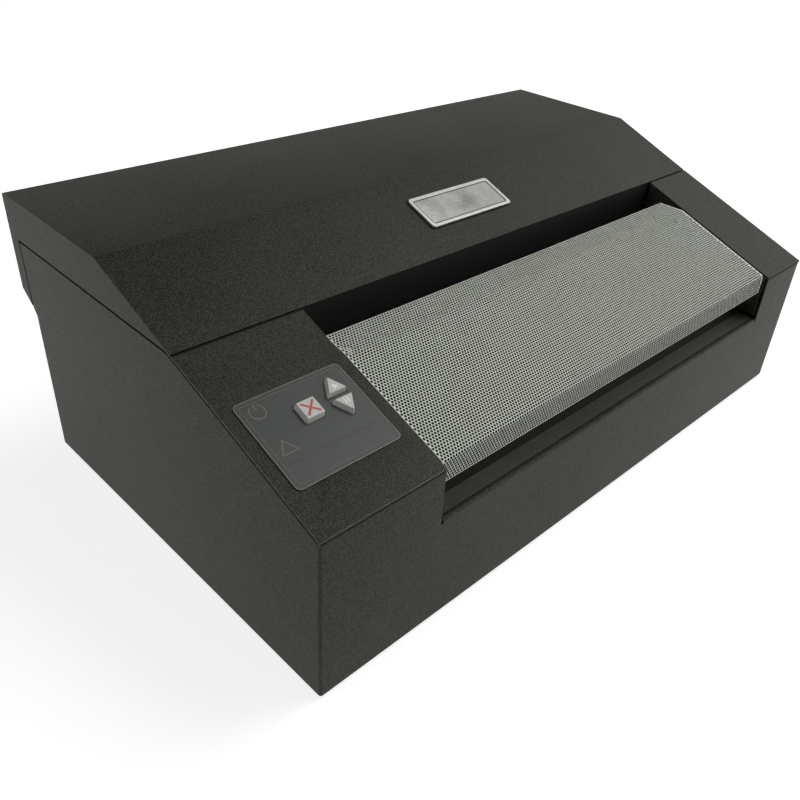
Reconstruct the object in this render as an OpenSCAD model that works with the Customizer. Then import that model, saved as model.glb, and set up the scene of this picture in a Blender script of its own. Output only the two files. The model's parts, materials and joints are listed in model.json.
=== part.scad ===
// Braille embosser for continuous paper: a sheet metal cabinet with a hinged lid, a perforated
// paper guide that tilts up, a three button panel, and a tractor fed embossing mechanism.
// Lengths are in millimetres. Inside the modules x runs from the left side, y from the front wall
// and z from the lower edge of the walls; seat() moves that corner to the part's own origin.

/* [Cabinet] */
// Overall width
body_w = 570; // [550:1:600]
// Overall depth, from the front wall to the back of the lid
body_d = 346; // [342:1:356]
// Height of the front wall
front_h = 122; // [120:1:126]
// Depth of the sloped deck in front of the lid
deck_run = 132.5; // [130:0.5:136]
// Slope of the deck, in degrees
deck_pitch = 20.5; // [20:0.1:21.5]
// Thickness of the cabinet sheet
sheet = 1.5; // [1.2:0.1:1.8]
// Outside radius of the cabinet's upright front corners
corner_r = 2; // [1.8:0.1:4]
// Width of the return flanges that stiffen the sheet edges
flange_w = 10; // [8:1:14]
// Gap between the deck panels and the walls under them
deck_seam = 0.7; // [0.2:0.1:0.9]
// Gap between the lid and the base along the side
seam_gap = 1.6; // [1.2:0.1:2]
// Rise of that gap from front to back
seam_rise = 2.4; // [0:0.2:4]
// How far the lid hangs out behind the side walls
hood_d = 14; // [13:0.5:18]
// Depth of the small step in the side walls below the hood
toe_d = 3.5; // [2:0.5:5]
// Height of that step
toe_h = 5.3; // [3:0.1:7]
// Height of the lower tip of the hood
toe_z = 121.5; // [119:0.5:124]
// Height of the back panel
rear_h = 112; // [106:1:114]
// Height of the rubber feet
foot_h = 3; // [2:0.5:6]
// Diameter of the rubber feet
foot_d = 24; // [16:1:30]
// Distance of the feet from the cabinet's edges
foot_inset = 34; // [26:1:50]

/* [Paper opening] */
// Width of the deck left of the opening, which holds the buttons
left_strip = 94; // [92:1:100]
// Width of the deck right of the opening
right_strip = 62.5; // [60:0.5:70]
// Height of the opening's lower edge
slot_z = 82; // [78:1:86]
// Depth of the ledge folded in at that edge
ledge_d = 14; // [10:1:18]
// Bend radius of the ledge
ledge_r = 1.5; // [1:0.1:2]
// Width of the relief cuts at the ends of the ledge
relief_w = 2; // [1.5:0.5:4]

/* [Lid] */
// Depth of the lid's sloped front
lid_run = 80.5; // [76:0.5:86]
// Slope of the lid's front, in degrees
lid_pitch = 21.6; // [20.6:0.1:22.6]
// Rise of the lid's top towards the back
top_rise = 2.3; // [0:0.1:4]
// Outside bend radius of the lid's creases
lid_bend_r = 2.5; // [2:0.1:4]
// Gap between the lid's front edge and the deck
lid_gap = 0.6; // [0.4:0.1:1.2]
// Height of the lower edge of the lid's back
skirt_z = 133; // [130:0.5:136]
// Gap at each end of the apron that hangs from the lid's front edge into the opening
apron_gap = 1.5; // [1:0.1:3]
// Height of the apron's lower edge above the tractors' ears
apron_room = 3.3; // [3:0.1:5]
// Width of the badge plate
badge_w = 91; // [70:1:110]
// Height of the badge plate, up the slope
badge_h = 33; // [24:1:40]
// Thickness of the badge plate
badge_t = 2.2; // [1.5:0.1:3]
// Width of the badge plate's raised rim
badge_rim = 3; // [2:0.5:5]
// Distance of the badge plate's middle from the lid's front edge
badge_s = 43; // [36:1:50]

/* [Lid hinges] */
// Distance of each hinge's middle from the side of the cabinet
hinge_x = 40; // [36:1:46]
// Diameter of the hinge pins
hinge_pin_d = 4; // [3:0.5:5]
// Outside diameter of the hinge knuckles
knuckle_d = 9; // [8:0.5:9.5]
// Width of the hinge leaves
leaf_w = 36; // [30:1:40]
// Width of the lid's middle knuckle
knuckle_w = 12; // [10:1:14]
// Thickness of the hinge leaves
leaf_t = 2.5; // [2:0.1:3]

/* [Paper guide] */
// Thickness of the perforated sheet
guide_t = 1; // [0.8:0.1:1.5]
// Distance of the guide's lip behind the front wall's face
guide_front = 4.3; // [3:0.1:6]
// Height of the lip
lip_h = 16; // [12:0.5:18]
// Distance of the guide's fold from the front wall
guide_fold = 91; // [88:0.5:94]
// Distance of the guide's back edge from the front wall
guide_rear = 110; // [106:0.5:114]
// Slope of the strip behind the fold, in degrees
guide_rear_pitch = 14; // [12:0.5:17]
// Gap at the guide's left end
guide_gap_l = 1.2; // [0.8:0.1:2]
// Gap at the guide's right end
guide_gap_r = 3; // [1:0.1:4]
// Width of the corner cut off at the back right
guide_cut_x = 10.5; // [6:0.5:14]
// Depth of that corner
guide_cut_y = 17; // [12:0.5:18]
// Spacing of the staggered perforations, four times that of the real sheet
perf_pitch = 9.52; // [8:0.01:12]
// Diameter of the perforations
perf_d = 6.35; // [5:0.01:7]
// Diameter of the pins that the guide tilts on
guide_pin_d = 4; // [3:0.5:5]

/* [Control panel] */
// Width of the panel overlay
overlay_w = 76.5; // [70:0.5:80]
// Height of the overlay, up the slope
overlay_h = 64; // [60:0.5:70]
// Thickness of the overlay
overlay_t = 0.8; // [0.4:0.1:1.2]
// Corner radius of the overlay
overlay_r = 3.5; // [2:0.5:6]
// Distance of the overlay's middle from the left side
overlay_x = 47.2; // [45:0.1:49]
// Distance of the overlay's middle from the front edge, up the slope
overlay_s = 62.3; // [58:0.1:66]
// Side of the square stop button
stop_w = 14; // [12:0.5:16]
// Side of the triangular buttons
arrow_w = 15.8; // [13:0.1:17]
// Gap between the two triangular buttons
arrow_gap = 3.3; // [2.5:0.1:5]
// Height of the buttons above the deck
key_h = 4.6; // [3.5:0.1:6]
// Width of the bevel round a button's top
key_bevel = 1.4; // [0.8:0.1:1.8]
// Length cut off the buttons' corners
key_clip = 1.5; // [1:0.1:2]
// Travel of the buttons
key_travel = 1; // [0.5:0.1:1.5]
// Gap around the buttons
key_gap = 0.4; // [0.3:0.05:0.6]

/* [Mechanism frame] */
// Distance of the inner frame plates outside the paper opening
frame_gap = 11; // [10:0.5:12]
// Thickness of the inner frame plates
frame_t = 3; // [2:0.5:3.5]
// Radial clearance of shafts and pins that turn or slide
run_clear = 0.05; // [0.02:0.01:0.09]
// Radial clearance of rods that are held fast
seat_clear = 0.02; // [0.01:0.01:0.05]
// Clearance between bodies that move past each other
move_clear = 0.3; // [0.3:0.05:0.5]
// Thickness of the paper guides inside
ramp_t = 1.2; // [1:0.1:1.5]

/* [Feed] */
// Height of the feed shaft
feed_z = 122; // [120:0.5:124]
// Distance between the feed shaft and the tractors' support rod
rod_gap = 36; // [34:0.5:38]
// Side of the square feed shaft
square_w = 10; // [8:0.5:10]
// Diameter of the feed shaft's journals
journal_d = 8; // [6:0.5:8]
// Diameter of the support rod
support_d = 10; // [8:0.5:11]
// Module of the feed gears
gear_m = 1; // [0.9:0.05:1.05]
// Teeth of the feed gear
gear_n = 60; // [54:1:62]
// Teeth of the motor pinion
pinion_n = 20; // [18:1:22]
// Width of the gears
gear_w = 7; // [5:0.5:8]
// Diameter of the feed motor
feed_motor_d = 36; // [30:1:38]
// Length of the feed motor
feed_motor_l = 28; // [22:1:30]

/* [Tractors] */
// Width of a tractor
tractor_w = 26; // [24:1:30]
// Thickness of a tractor's cheeks
cheek_t = 5; // [4:0.5:6]
// Outside radius of the pin belt where it turns
pin_belt_r = 14; // [13.5:0.1:15]
// Thickness of the pin belt
pin_belt_t = 1.7; // [1.4:0.1:2]
// Diameter of the feed pins
feed_pin_d = 3.6; // [3:0.1:4]
// Height of the feed pins
feed_pin_h = 2.4; // [2:0.1:3]
// Gap between the side of the opening and a tractor at its outer stop
tractor_inset = 5; // [4:0.5:10]
// Thickness of the tractors' gates
gate_t = 2; // [1.5:0.1:2.5]

/* [Embossing carriage] */
// Distance of the embossing line in front of the middle of the room under the lid
emboss_lead = 0.5; // [0:0.5:4]
// Distance from the feed shaft to the embossing line
emboss_back = 48; // [47:0.5:50]
// Width of the die bar, front to back
die_w = 36; // [30:1:38]
// Height of the die bar
die_h = 28; // [20:1:32]
// Gap between the paper's plane and the die bar, and the punches
paper_gap = 0.8; // [0.5:0.1:1.5]
// Diameter of the carriage rods
rod_d = 12; // [10:0.5:14]
// Distance between the carriage rods
rod_span = 44; // [42:1:46]
// Height of the carriage rods above the paper's plane
rod_rise = 22; // [20:0.5:24]
// Width of the carriage along the rods
carriage_w = 64; // [50:1:80]
// Depth of the carriage
carriage_d = 72; // [70:1:76]
// Height of the carriage
carriage_h = 22; // [20:0.5:22]
// Outside diameter of the carriage bushes
bush_d = 17; // [15:0.5:18]
// Number of punches in each of the two rows
punch_n = 4; // [3:1:6]
// Diameter of the punches
punch_d = 1.6; // [1.2:0.1:2.4]
// Barrel radius of the belt pulleys
pulley_r = 8; // [7:0.5:9]
// Thickness of the drive belt
belt_t = 1.4; // [1:0.1:1.8]
// Width of the drive belt
belt_w = 6; // [5:0.5:7]
// Side of the carriage motor
motor_w = 40; // [34:1:42]
// Height of the carriage motor
motor_h = 38; // [30:1:44]

/* [Electronics] */
// Width of the power supply
supply_w = 160; // [120:1:180]
// Depth of the power supply
supply_d = 100; // [80:1:110]
// Height of the power supply
supply_h = 52; // [40:1:56]
// Width of the main board
board_w = 200; // [160:1:220]
// Depth of the main board
board_d = 130; // [100:1:140]
// Thickness of the circuit boards
board_t = 1.6; // [1.2:0.1:2]
// Height of the board's posts
post_h = 8; // [6:0.5:12]

/* [Hidden] */
$fn = 64;
bend_steps = 5;
cut_over = 1;

// Finishes
charcoal = [0.24, 0.24, 0.22];
perforated_grey = [0.56, 0.57, 0.53];
zinc = [0.66, 0.67, 0.68];
steel = [0.72, 0.73, 0.74];
black = [0.08, 0.08, 0.08];
resin_grey = [0.35, 0.36, 0.37];
key_grey = [0.72, 0.73, 0.71];
board_green = [0.07, 0.27, 0.16];
brass = [0.74, 0.6, 0.32];
nickel = [0.8, 0.8, 0.78];

// Side view of the cabinet
side_d = body_d - hood_d;
base_d = side_d - toe_d;
crease_y = deck_run + lid_run;
deck_drop = (sheet + deck_seam) / cos(deck_pitch);
deck_skin = sheet / cos(deck_pitch);
deck_end = deck_run - lid_gap;
function deck_z(y) = front_h + y * tan(deck_pitch);
function seam_z(y) = deck_z(deck_run) + (y - deck_run) * seam_rise / (side_d - deck_run);
function lid_z(y) = deck_z(deck_run) + (y - deck_run) * tan(lid_pitch);
top_pitch = atan(top_rise / (body_d - crease_y));
function top_z(y) = lid_z(crease_y) + (y - crease_y) * tan(top_pitch);
lid_front = deck_run + lid_gap;
lid_skin = sheet / cos(lid_pitch);
top_skin = sheet / cos(top_pitch);
inner_crease_y = crease_y + (lid_skin - top_skin) / (tan(lid_pitch) - tan(top_pitch));
wrap_top_y = deck_run + 6.5;
hinge_y = side_d + 5.5;
hinge_z = toe_z + 4.5;
bracket_h = 30;
end_knuckle_w = 8;
leaf_lift = 3;
leaf_h = 26;
arm_h = 16;
arm_in = 4;

// Paper opening and mechanism frame
opening_r = body_w - right_strip;
frame_l = left_strip - frame_gap;
frame_r = opening_r + frame_gap;
frame_front = 26;
pan_z = sheet;
window_in = 22;
window_z = 48;
window_h = 50;
window_r = 8;
front_window_w = 76;
rear_window_w = 96;
foot_in = 8;
foot_w = 12;
ledge_drop = 3;

// Paper guide
guide_l = left_strip + guide_gap_l;
guide_r = opening_r - guide_gap_r;
guide_pin_y = guide_fold - 1;
guide_pin_z = deck_z(guide_pin_y) - 7.5;
guide_skin = guide_t / cos(deck_pitch);
rear_skin = guide_t / cos(guide_rear_pitch);
inner_fold_y = guide_fold
    + (guide_skin - rear_skin) / (tan(deck_pitch) - tan(guide_rear_pitch));
bend_h = 2;

// Feed and embossing line
emboss_y = (deck_run + base_d) / 2 - emboss_lead;
feed_y = emboss_y - emboss_back;
support_y = feed_y - rod_gap;
paper_z = feed_z + pin_belt_r;
rod_z = paper_z + rod_rise;
rod_front_y = emboss_y - rod_span / 2;
rod_rear_y = emboss_y + rod_span / 2;
carriage_x = (frame_l + frame_r) / 2;
carriage_z = rod_z - carriage_h / 2 + 1;
carriage_top = carriage_z + carriage_h;
carriage_rear = emboss_y + carriage_d / 2;
punch_pitch = 6;
punch_row = 1.5;
punch_spots = [for (i = [0 : punch_n - 1], k = [-1, 1])
    [carriage_x + (i - (punch_n - 1) / 2) * punch_pitch, emboss_y + k * punch_row]];
clamp_wall = 2;
belt_in = pulley_r + move_clear;
belt_out = belt_in + belt_t;
belt_y = carriage_rear + clamp_wall + move_clear + belt_out;
belt_z = rod_z + 2;
notch_gap = 3;
notch_wall = 9.8;
frame_rear = belt_y + belt_out + notch_gap + notch_wall;
pulley_x_l = frame_l - frame_t - 20;
pulley_x_r = frame_r + frame_t + motor_w / 2 + 2.5;
shelf_t = 3;
shelf_z = belt_z - 11;
motor_shaft_r = 2.5;
idler_pin_r = 3;
motor_shaft_l = 10;
frame_top = rod_z + 14;
gear_x = frame_r + frame_t + 2;
pinion_y = feed_y - gear_m * (gear_n + pinion_n) / 2;
feed_shaft_l = 14;

// Tractors, measured from each tractor's outer cheek; the pins have the half inch of sprocket paper
feed_pin_pitch = 12.7;
tractor_l = left_strip + tractor_inset;
tractor_r = opening_r - tractor_inset;
belt_core_r = pin_belt_r - pin_belt_t - move_clear;
hub_r = square_w * 0.5 * sqrt(2) + 1.4;
gate_z = paper_z + 1.2;
gate_axis_x = -3;
gate_axis_z = gate_z + gate_t;
gate_barrel_r = 2.4;
gate_pin_r = 1.4;
ear_w = 4;
ear_r = 3;
apron_z = gate_axis_z + ear_r + apron_room;
gate_y0 = support_y - 8;
gate_y1 = feed_y + 8;
lever_arm = 22;
lever_tip_r = 3;
lever_room = 2.5;

// Inlet ramp under the guide
ramp_flat = ledge_d + 2;
ramp_room = 5;
ramp_end = support_y - lever_arm - lever_tip_r - lever_room;
ramp_rise = paper_z - 4 - slot_z;
function ramp_z(y) = slot_z + max(0, y - ramp_flat) * ramp_rise / (ramp_end - ramp_flat);
ramp_pitch = atan(ramp_rise / (ramp_end - ramp_flat));

// Guide from the die bar to the back
exit_run = 12;
exit_over = 3.5;
exit_drop = 14;

// Control panel
key_deep = 3.2;
key_bevel_h = 1.1;
stop_foot = 1.2;
arrow_foot = 0.7;
stop_x = overlay_x;
stop_s = overlay_s + 9;
arrow_x = overlay_x + 22.5;
arrow_h = arrow_w * sqrt(3) / 2;
arrow_s = overlay_s + 9.4;
start_s = arrow_s + arrow_gap / 2 + arrow_h / 3;
pause_s = arrow_s - arrow_gap / 2 - arrow_h / 3;
keypad_drop = sheet + key_deep + key_travel + 3;

// Back panel fittings
inlet_in = 110;
inlet_x = body_w - inlet_in;
switch_gap = 42;
switch_x = inlet_x - switch_gap;
port_x = 150;
fitting_z = 46;
inlet_w = 27.5;
inlet_h = 20;
switch_w = 13;
switch_h = 19.5;
usb_w = 12;
usb_h = 11;
net_w = 16;
net_h = 13.5;
port_gap = 26;
board_x = port_x - 30;
board_rear = base_d - 14;
port_z = pan_z + post_h + board_t;
part_row = 26;
part_step = 22;
plug_step = 12;
sink_w = 70;
sink_d = 40;
sink_h = 17;
sink_fin = 4;
chip_h = 2.4;
supply_x = frame_r - 24 - supply_w;
supply_y = 48;
rocker_tilt = 7;
rocker_w = switch_w - 3;
rocker_h = switch_h - 4;
screw_r = 1.6;
screw_in = sheet + flange_w / 2 + 1;
screw_up = 18;
screw_spots = [for (x = [screw_in, body_w - screw_in], z = [screw_up, rear_h - screw_up]) [x, z]];

// Moves the model so that its origin is under the middle of its box
module seat() {
    translate([-body_w / 2, -body_d / 2, foot_h]) children();
}

// Sweeps a side view outline (y, z) along x
module along_x(x0, x1) {
    translate([x0, 0, 0]) rotate([90, 0, 90]) linear_extrude(x1 - x0) children();
}

// Round bar along x
module bar_x(x0, x1, y, z, r) {
    translate([x0, y, z]) rotate([0, 90, 0]) cylinder(h = x1 - x0, r = r);
}

// Round bar along y
module bar_y(y0, y1, x, z, r) {
    translate([x, y0, z]) rotate([-90, 0, 0]) cylinder(h = y1 - y0, r = r);
}

// Box from corner to corner
module block(a, b) {
    translate(a) cube(b - a);
}

// The same shape on the left and, mirrored, on the right of the cabinet
module both_sides() {
    children();
    translate([body_w, 0, 0]) mirror([1, 0, 0]) children();
}

// Rectangle with true arcs at its corners, centred
module soft_rect(w, h, r) {
    square([w - 2 * r, h], center = true);
    square([w, h - 2 * r], center = true);
    for (x = [-1, 1], y = [-1, 1])
        translate([x * (w / 2 - r), y * (h / 2 - r)]) circle(r);
}

// Places children on the deck: x from the left side, s up the slope, z out of the deck
module on_deck(x, s) {
    translate([x, s * cos(deck_pitch), front_h + s * sin(deck_pitch)])
        rotate([deck_pitch, 0, 0]) children();
}

// Places children on the lid's sloped front
module on_lid(x, s) {
    translate([x, deck_run + s * cos(lid_pitch), deck_z(deck_run) + s * sin(lid_pitch)])
        rotate([lid_pitch, 0, 0]) children();
}

// Outline whose corners [x, y, r] are rounded, each to its own radius
function unit(v) = v / norm(v);
function flat(p) = [p[0], p[1]];
function turn(a) = a > 180 ? a - 360 : a < -180 ? a + 360 : a;
function rounded(p, c, n, r) =
    let (a = unit(p - c), b = unit(n - c), half = acos(a * b) / 2,
        mid = c + unit(a + b) * r / sin(half),
        from = c + a * r / tan(half) - mid,
        to = c + b * r / tan(half) - mid,
        start = atan2(from[1], from[0]),
        sweep = turn(atan2(to[1], to[0]) - start))
    [for (i = [0 : bend_steps])
        mid + r * [cos(start + sweep * i / bend_steps), sin(start + sweep * i / bend_steps)]];
function outline(pts) = [for (i = [0 : len(pts) - 1])
    let (n = len(pts), c = pts[i])
    each c[2] == 0 ? [flat(c)]
        : rounded(flat(pts[(i + n - 1) % n]), flat(c), flat(pts[(i + 1) % n]), c[2])];

// Outline whose corners are cut off straight
function clipped(pts) = [for (i = [0 : len(pts) - 1]) let (n = len(pts), c = pts[i])
    each [for (p = [pts[(i + n - 1) % n], pts[(i + 1) % n]]) c + unit(p - c) * key_clip]];

// Involute spur gear outline, thinned by a little backlash
pressure = 20;
backlash = 0.2;
function involute(a) = tan(a) * 180 / PI - a;
function flank(r, rho, n) =
    let (base = r * cos(pressure), over = rho > base ? acos(base / rho) : 0)
    90 / n - backlash / r * 90 / PI + involute(pressure) - involute(over);
function spoke(rho, a) = rho * [cos(a), sin(a)];
function gear_outline(n, m) =
    let (r = n * m / 2, root = r - 1.25 * m, tip = r + 0.95 * m, first = max(root, r * cos(pressure)),
        radii = [for (k = [0 : 4]) first + (tip - first) * k / 4])
    [for (i = [0 : n - 1]) let (mid = i * 360 / n) each concat(
        [spoke(root, mid - flank(r, first, n))],
        [for (k = [0 : 4]) spoke(radii[k], mid - flank(r, radii[k], n))],
        [for (k = [4 : -1 : 0]) spoke(radii[k], mid + flank(r, radii[k], n))],
        [spoke(root, mid + flank(r, first, n))])];

// Stadium of radius r round two points on the y axis of a side view
module stadium(y0, y1, r) {
    for (y = [y0, y1]) translate([y, 0]) circle(r);
    translate([y0, -r]) square([y1 - y0, 2 * r]);
}

// Front wall and side walls, bent from one sheet
module wall_side_view() {
    polygon([[0, 0], [0, front_h - deck_drop], [deck_run, deck_z(deck_run) - deck_drop],
        [wrap_top_y, seam_z(wrap_top_y) - seam_gap / 2], [side_d, seam_z(side_d) - seam_gap / 2],
        [side_d, toe_z], [base_d, toe_z - toe_h], [base_d, 0]]);
}

module wall_plan() {
    difference() {
        translate([body_w / 2, body_d / 2]) soft_rect(body_w, body_d, corner_r);
        translate([body_w / 2, body_d / 2 + sheet])
            soft_rect(body_w - 2 * sheet, body_d, corner_r - sheet);
    }
}

module folded_ledge() {
    along_x(left_strip + relief_w, opening_r - relief_w)
        polygon(outline([[0, slot_z - ledge_drop, 0], [0, slot_z, ledge_r], [ledge_d, slot_z, 0],
            [ledge_d, slot_z - sheet, 0], [sheet, slot_z - sheet, 0], [sheet, slot_z - ledge_drop, 0]]));
}

module opening_cut() {
    block([left_strip, -cut_over, slot_z - ledge_r], [opening_r, sheet + cut_over, front_h]);
    block([left_strip + relief_w, -cut_over, slot_z - ledge_drop],
        [opening_r - relief_w, sheet + cut_over, slot_z]);
    for (x = [left_strip, opening_r - relief_w])
        block([x, -cut_over, slot_z - ledge_drop], [x + relief_w, sheet + cut_over, slot_z]);
}

module base_wrap() {
    flange_y0 = wrap_top_y + 6;
    color(charcoal) seat() {
        difference() {
            intersection() {
                linear_extrude(deck_z(deck_run) + seam_rise) wall_plan();
                along_x(0, body_w) wall_side_view();
            }
            opening_cut();
        }
        folded_ledge();
        both_sides() {
            along_x(sheet / 2, sheet + flange_w) polygon([
                [flange_y0, seam_z(flange_y0) - seam_gap / 2 - sheet],
                [side_d - hood_d, seam_z(side_d - hood_d) - seam_gap / 2 - sheet],
                [side_d - hood_d, seam_z(side_d - hood_d) - seam_gap / 2],
                [flange_y0, seam_z(flange_y0) - seam_gap / 2]]);
            block([sheet / 2, base_d - 2 * sheet, 2 * pan_z],
                [sheet + flange_w, base_d - sheet, rear_h - sheet]);
        }
    }
}

// Floor of the cabinet, with upturned edges, posts for the board and a field of vent slots
module base_pan() {
    fit = 0.2;
    x0 = sheet + fit;
    x1 = body_w - sheet - fit;
    y0 = sheet + fit;
    y1 = base_d - sheet;
    wall = 12;
    slot_w = 4;
    slot_l = 40;
    color(charcoal) seat() {
        difference() {
            union() {
                block([x0, y0, 0], [x1, y1, pan_z]);
                for (x = [x0, x1 - sheet]) block([x, y0 + corner_r, 0], [x + sheet, y1 - 2 * sheet, wall]);
                block([x0 + corner_r, y0, 0], [x1 - corner_r, y0 + sheet, wall]);
            }
            for (i = [0 : 9]) block([supply_x + 12 + i * 14, supply_y + 30, -cut_over],
                [supply_x + 12 + slot_w + i * 14, supply_y + 30 + slot_l, pan_z + cut_over]);
        }
        for (x = [board_x + 8, board_x + board_w - 8], y = [board_rear - board_d + 8, board_rear - 8])
            translate([x, y, pan_z]) cylinder(h = post_h, r = 3);
    }
}

// Back panel with its cut-outs and louvre slots
module rear_panel() {
    fit = 0.3;
    over = sheet + 2 * cut_over;
    color(charcoal) seat() difference() {
        block([sheet + fit, base_d - sheet, pan_z], [body_w - sheet - fit, base_d, rear_h]);
        translate([0, base_d + cut_over, fitting_z]) rotate([90, 0, 0]) linear_extrude(over) {
            translate([inlet_x, 0]) square([inlet_w + 2 * seat_clear, inlet_h + 2 * seat_clear],
                center = true);
            translate([switch_x, 0]) square([switch_w + 2 * seat_clear, switch_h + 2 * seat_clear],
                center = true);
        }
        for (p = [[0, usb_w, usb_h], [port_gap, net_w, net_h]])
            block([port_x + p[0] - p[1] / 2 - move_clear, base_d - sheet - cut_over, port_z - move_clear],
                [port_x + p[0] + p[1] / 2 + move_clear, base_d + cut_over, port_z + p[2] + move_clear]);
        for (i = [0 : 11], k = [0, 1])
            translate([body_w / 2 - 44 + i * 8, base_d, 40 + k * 34]) rotate([90, 0, 0])
                linear_extrude(3 * over, center = true) stadium_slot(3, 26);
        for (p = screw_spots) bar_y(base_d - sheet - cut_over, base_d + cut_over, p[0], p[1], screw_r);
    }
}

// Upright slot with round ends
module stadium_slot(w, h) {
    square([w, h - w], center = true);
    for (y = [-1, 1]) translate([0, y * (h - w) / 2]) circle(w / 2);
}

// Screws of the back panel, into the wall's return flanges
module rear_screws() {
    head_r = 3.2;
    head_h = 2;
    color(zinc) seat() for (p = screw_spots) difference() {
        union() {
            bar_y(base_d, base_d + head_h, p[0], p[1], head_r);
            bar_y(base_d - sheet, base_d, p[0], p[1], screw_r - seat_clear);
        }
        for (a = [0, 90]) translate([p[0], base_d + head_h, p[1]]) rotate([0, a, 0])
            cube([3.6, 1.6, 0.8], center = true);
    }
}

module feet() {
    y1 = base_d - foot_inset;
    color(black) seat() for (x = [foot_inset, body_w - foot_inset], y = [foot_inset, y1])
        translate([x, y, -foot_h]) rotate_extrude() polygon([[0, 0], [foot_d / 2 - 1.5, 0],
            [foot_d / 2, foot_h], [0, foot_h]]);
}

// One deck panel: its slope, the flange beside the opening with the guide's pivot hole and
// rest tab, and the flange under the lid's edge. Measured from the cabinet's own side.
module deck_panel(w, tab) {
    flange_top = deck_skin / 2;
    rest_y = 24;
    rest_l = 12;
    tab_drop = guide_skin + move_clear;
    along_x(0, w) polygon([[0, front_h - deck_skin], [0, front_h], [deck_end, deck_z(deck_end)],
        [deck_end, deck_z(deck_end) - deck_skin]]);
    along_x(w / 8, w) polygon([[deck_end - sheet, deck_z(deck_end) - 14],
        [deck_end, deck_z(deck_end) - 14], [deck_end, deck_z(deck_end) - flange_top],
        [deck_end - sheet, deck_z(deck_end - sheet) - flange_top]]);
    difference() {
        along_x(w - sheet, w) polygon([[2 * sheet, slot_z + 2], [2 * sheet, deck_z(0)],
            [deck_end, deck_z(deck_end) - flange_top], [deck_end, deck_z(deck_end) - 26],
            [ramp_end, ramp_z(ramp_end) + ramp_room], [ramp_flat, ramp_z(ramp_flat) + 2 * sheet]]);
        bar_x(w - sheet - cut_over, w + cut_over, guide_pin_y, guide_pin_z, guide_pin_d / 2 + run_clear);
    }
    along_x(w - sheet / 2, w + tab) polygon([[rest_y, deck_z(rest_y) - tab_drop - sheet],
        [rest_y, deck_z(rest_y) - tab_drop], [rest_y + rest_l, deck_z(rest_y + rest_l) - tab_drop],
        [rest_y + rest_l, deck_z(rest_y + rest_l) - tab_drop - sheet]]);
}

module left_deck() {
    color(charcoal) seat() difference() {
        deck_panel(left_strip, guide_gap_l + 8);
        on_deck(0, 0) translate([0, 0, -sheet - cut_over])
            linear_extrude(sheet + 2 * cut_over) key_holes();
    }
}

module right_deck() {
    color(charcoal) seat() translate([body_w, 0, 0]) mirror([1, 0, 0])
        deck_panel(right_strip, guide_gap_r + 8);
}

// Outlines of the three buttons, grown by g
module stop_shape(g) {
    a = stop_w / 2 + g;
    polygon(clipped([[-a, -a], [a, -a], [a, a], [-a, a]]));
}

module arrow_shape(g) {
    w = arrow_w + 2 * sqrt(3) * g;
    h = w * sqrt(3) / 2;
    polygon(clipped([[-w / 2, -h / 3], [w / 2, -h / 3], [0, 2 * h / 3]]));
}

module key_places(g) {
    translate([stop_x, stop_s]) stop_shape(g);
    translate([arrow_x, start_s]) arrow_shape(g);
    translate([arrow_x, pause_s]) rotate(180) arrow_shape(g);
}

module key_holes() {
    key_places(key_gap);
}

// Overlay on the deck, with holes for the buttons
module control_overlay() {
    color(resin_grey) seat() on_deck(0, 0) difference() {
        translate([overlay_x, overlay_s]) linear_extrude(overlay_t)
            soft_rect(overlay_w, overlay_h, overlay_r);
        translate([0, 0, -cut_over]) linear_extrude(overlay_t + 2 * cut_over) key_holes();
    }
}

// Small board under the buttons: posts up to the deck and one switch below each button
module keypad_board() {
    drop = keypad_drop;
    color(board_green) seat() on_deck(overlay_x, overlay_s) {
        translate([0, 0, -drop - board_t]) linear_extrude(board_t)
            soft_rect(overlay_w - 8, overlay_h - 14, 2);
        for (x = [-1, 1], y = [-1, 1])
            translate([x * (overlay_w / 2 - 9), y * (overlay_h / 2 - 12), -drop])
                cylinder(h = drop - sheet, r = 2.5);
        for (p = [[stop_x, stop_s], [arrow_x, start_s], [arrow_x, pause_s]])
            translate([p[0] - overlay_x, p[1] - overlay_s, -drop]) {
                translate([-3, -3, 0]) cube([6, 6, 2]);
                cylinder(h = 3 - move_clear, r = 1.5);
            }
    }
}

// Button: a cap with a bevelled top, and a foot that keeps it under the deck. Half is the distance
// from its middle to its sides.
module key(x, s, half) {
    edge_z = key_h - key_bevel_h;
    under = sheet + move_clear + 1;
    on_deck(x, s) {
        translate([0, 0, -under]) linear_extrude(under + edge_z) children(0);
        translate([0, 0, edge_z]) linear_extrude(key_bevel_h, scale = 1 - key_bevel / half) children(0);
        translate([0, 0, -sheet - key_deep]) linear_extrude(key_deep - move_clear) children(1);
    }
}

module stop_button() {
    color(key_grey) seat() key(stop_x, stop_s, stop_w / 2) {
        stop_shape(0);
        stop_shape(stop_foot);
    }
}

module start_button() {
    color(key_grey) seat() key(arrow_x, start_s, arrow_h / 3) {
        arrow_shape(0);
        arrow_shape(arrow_foot);
    }
}

module pause_button() {
    color(key_grey) seat() key(arrow_x, pause_s, arrow_h / 3) {
        rotate(180) arrow_shape(0);
        rotate(180) arrow_shape(arrow_foot);
    }
}

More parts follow.
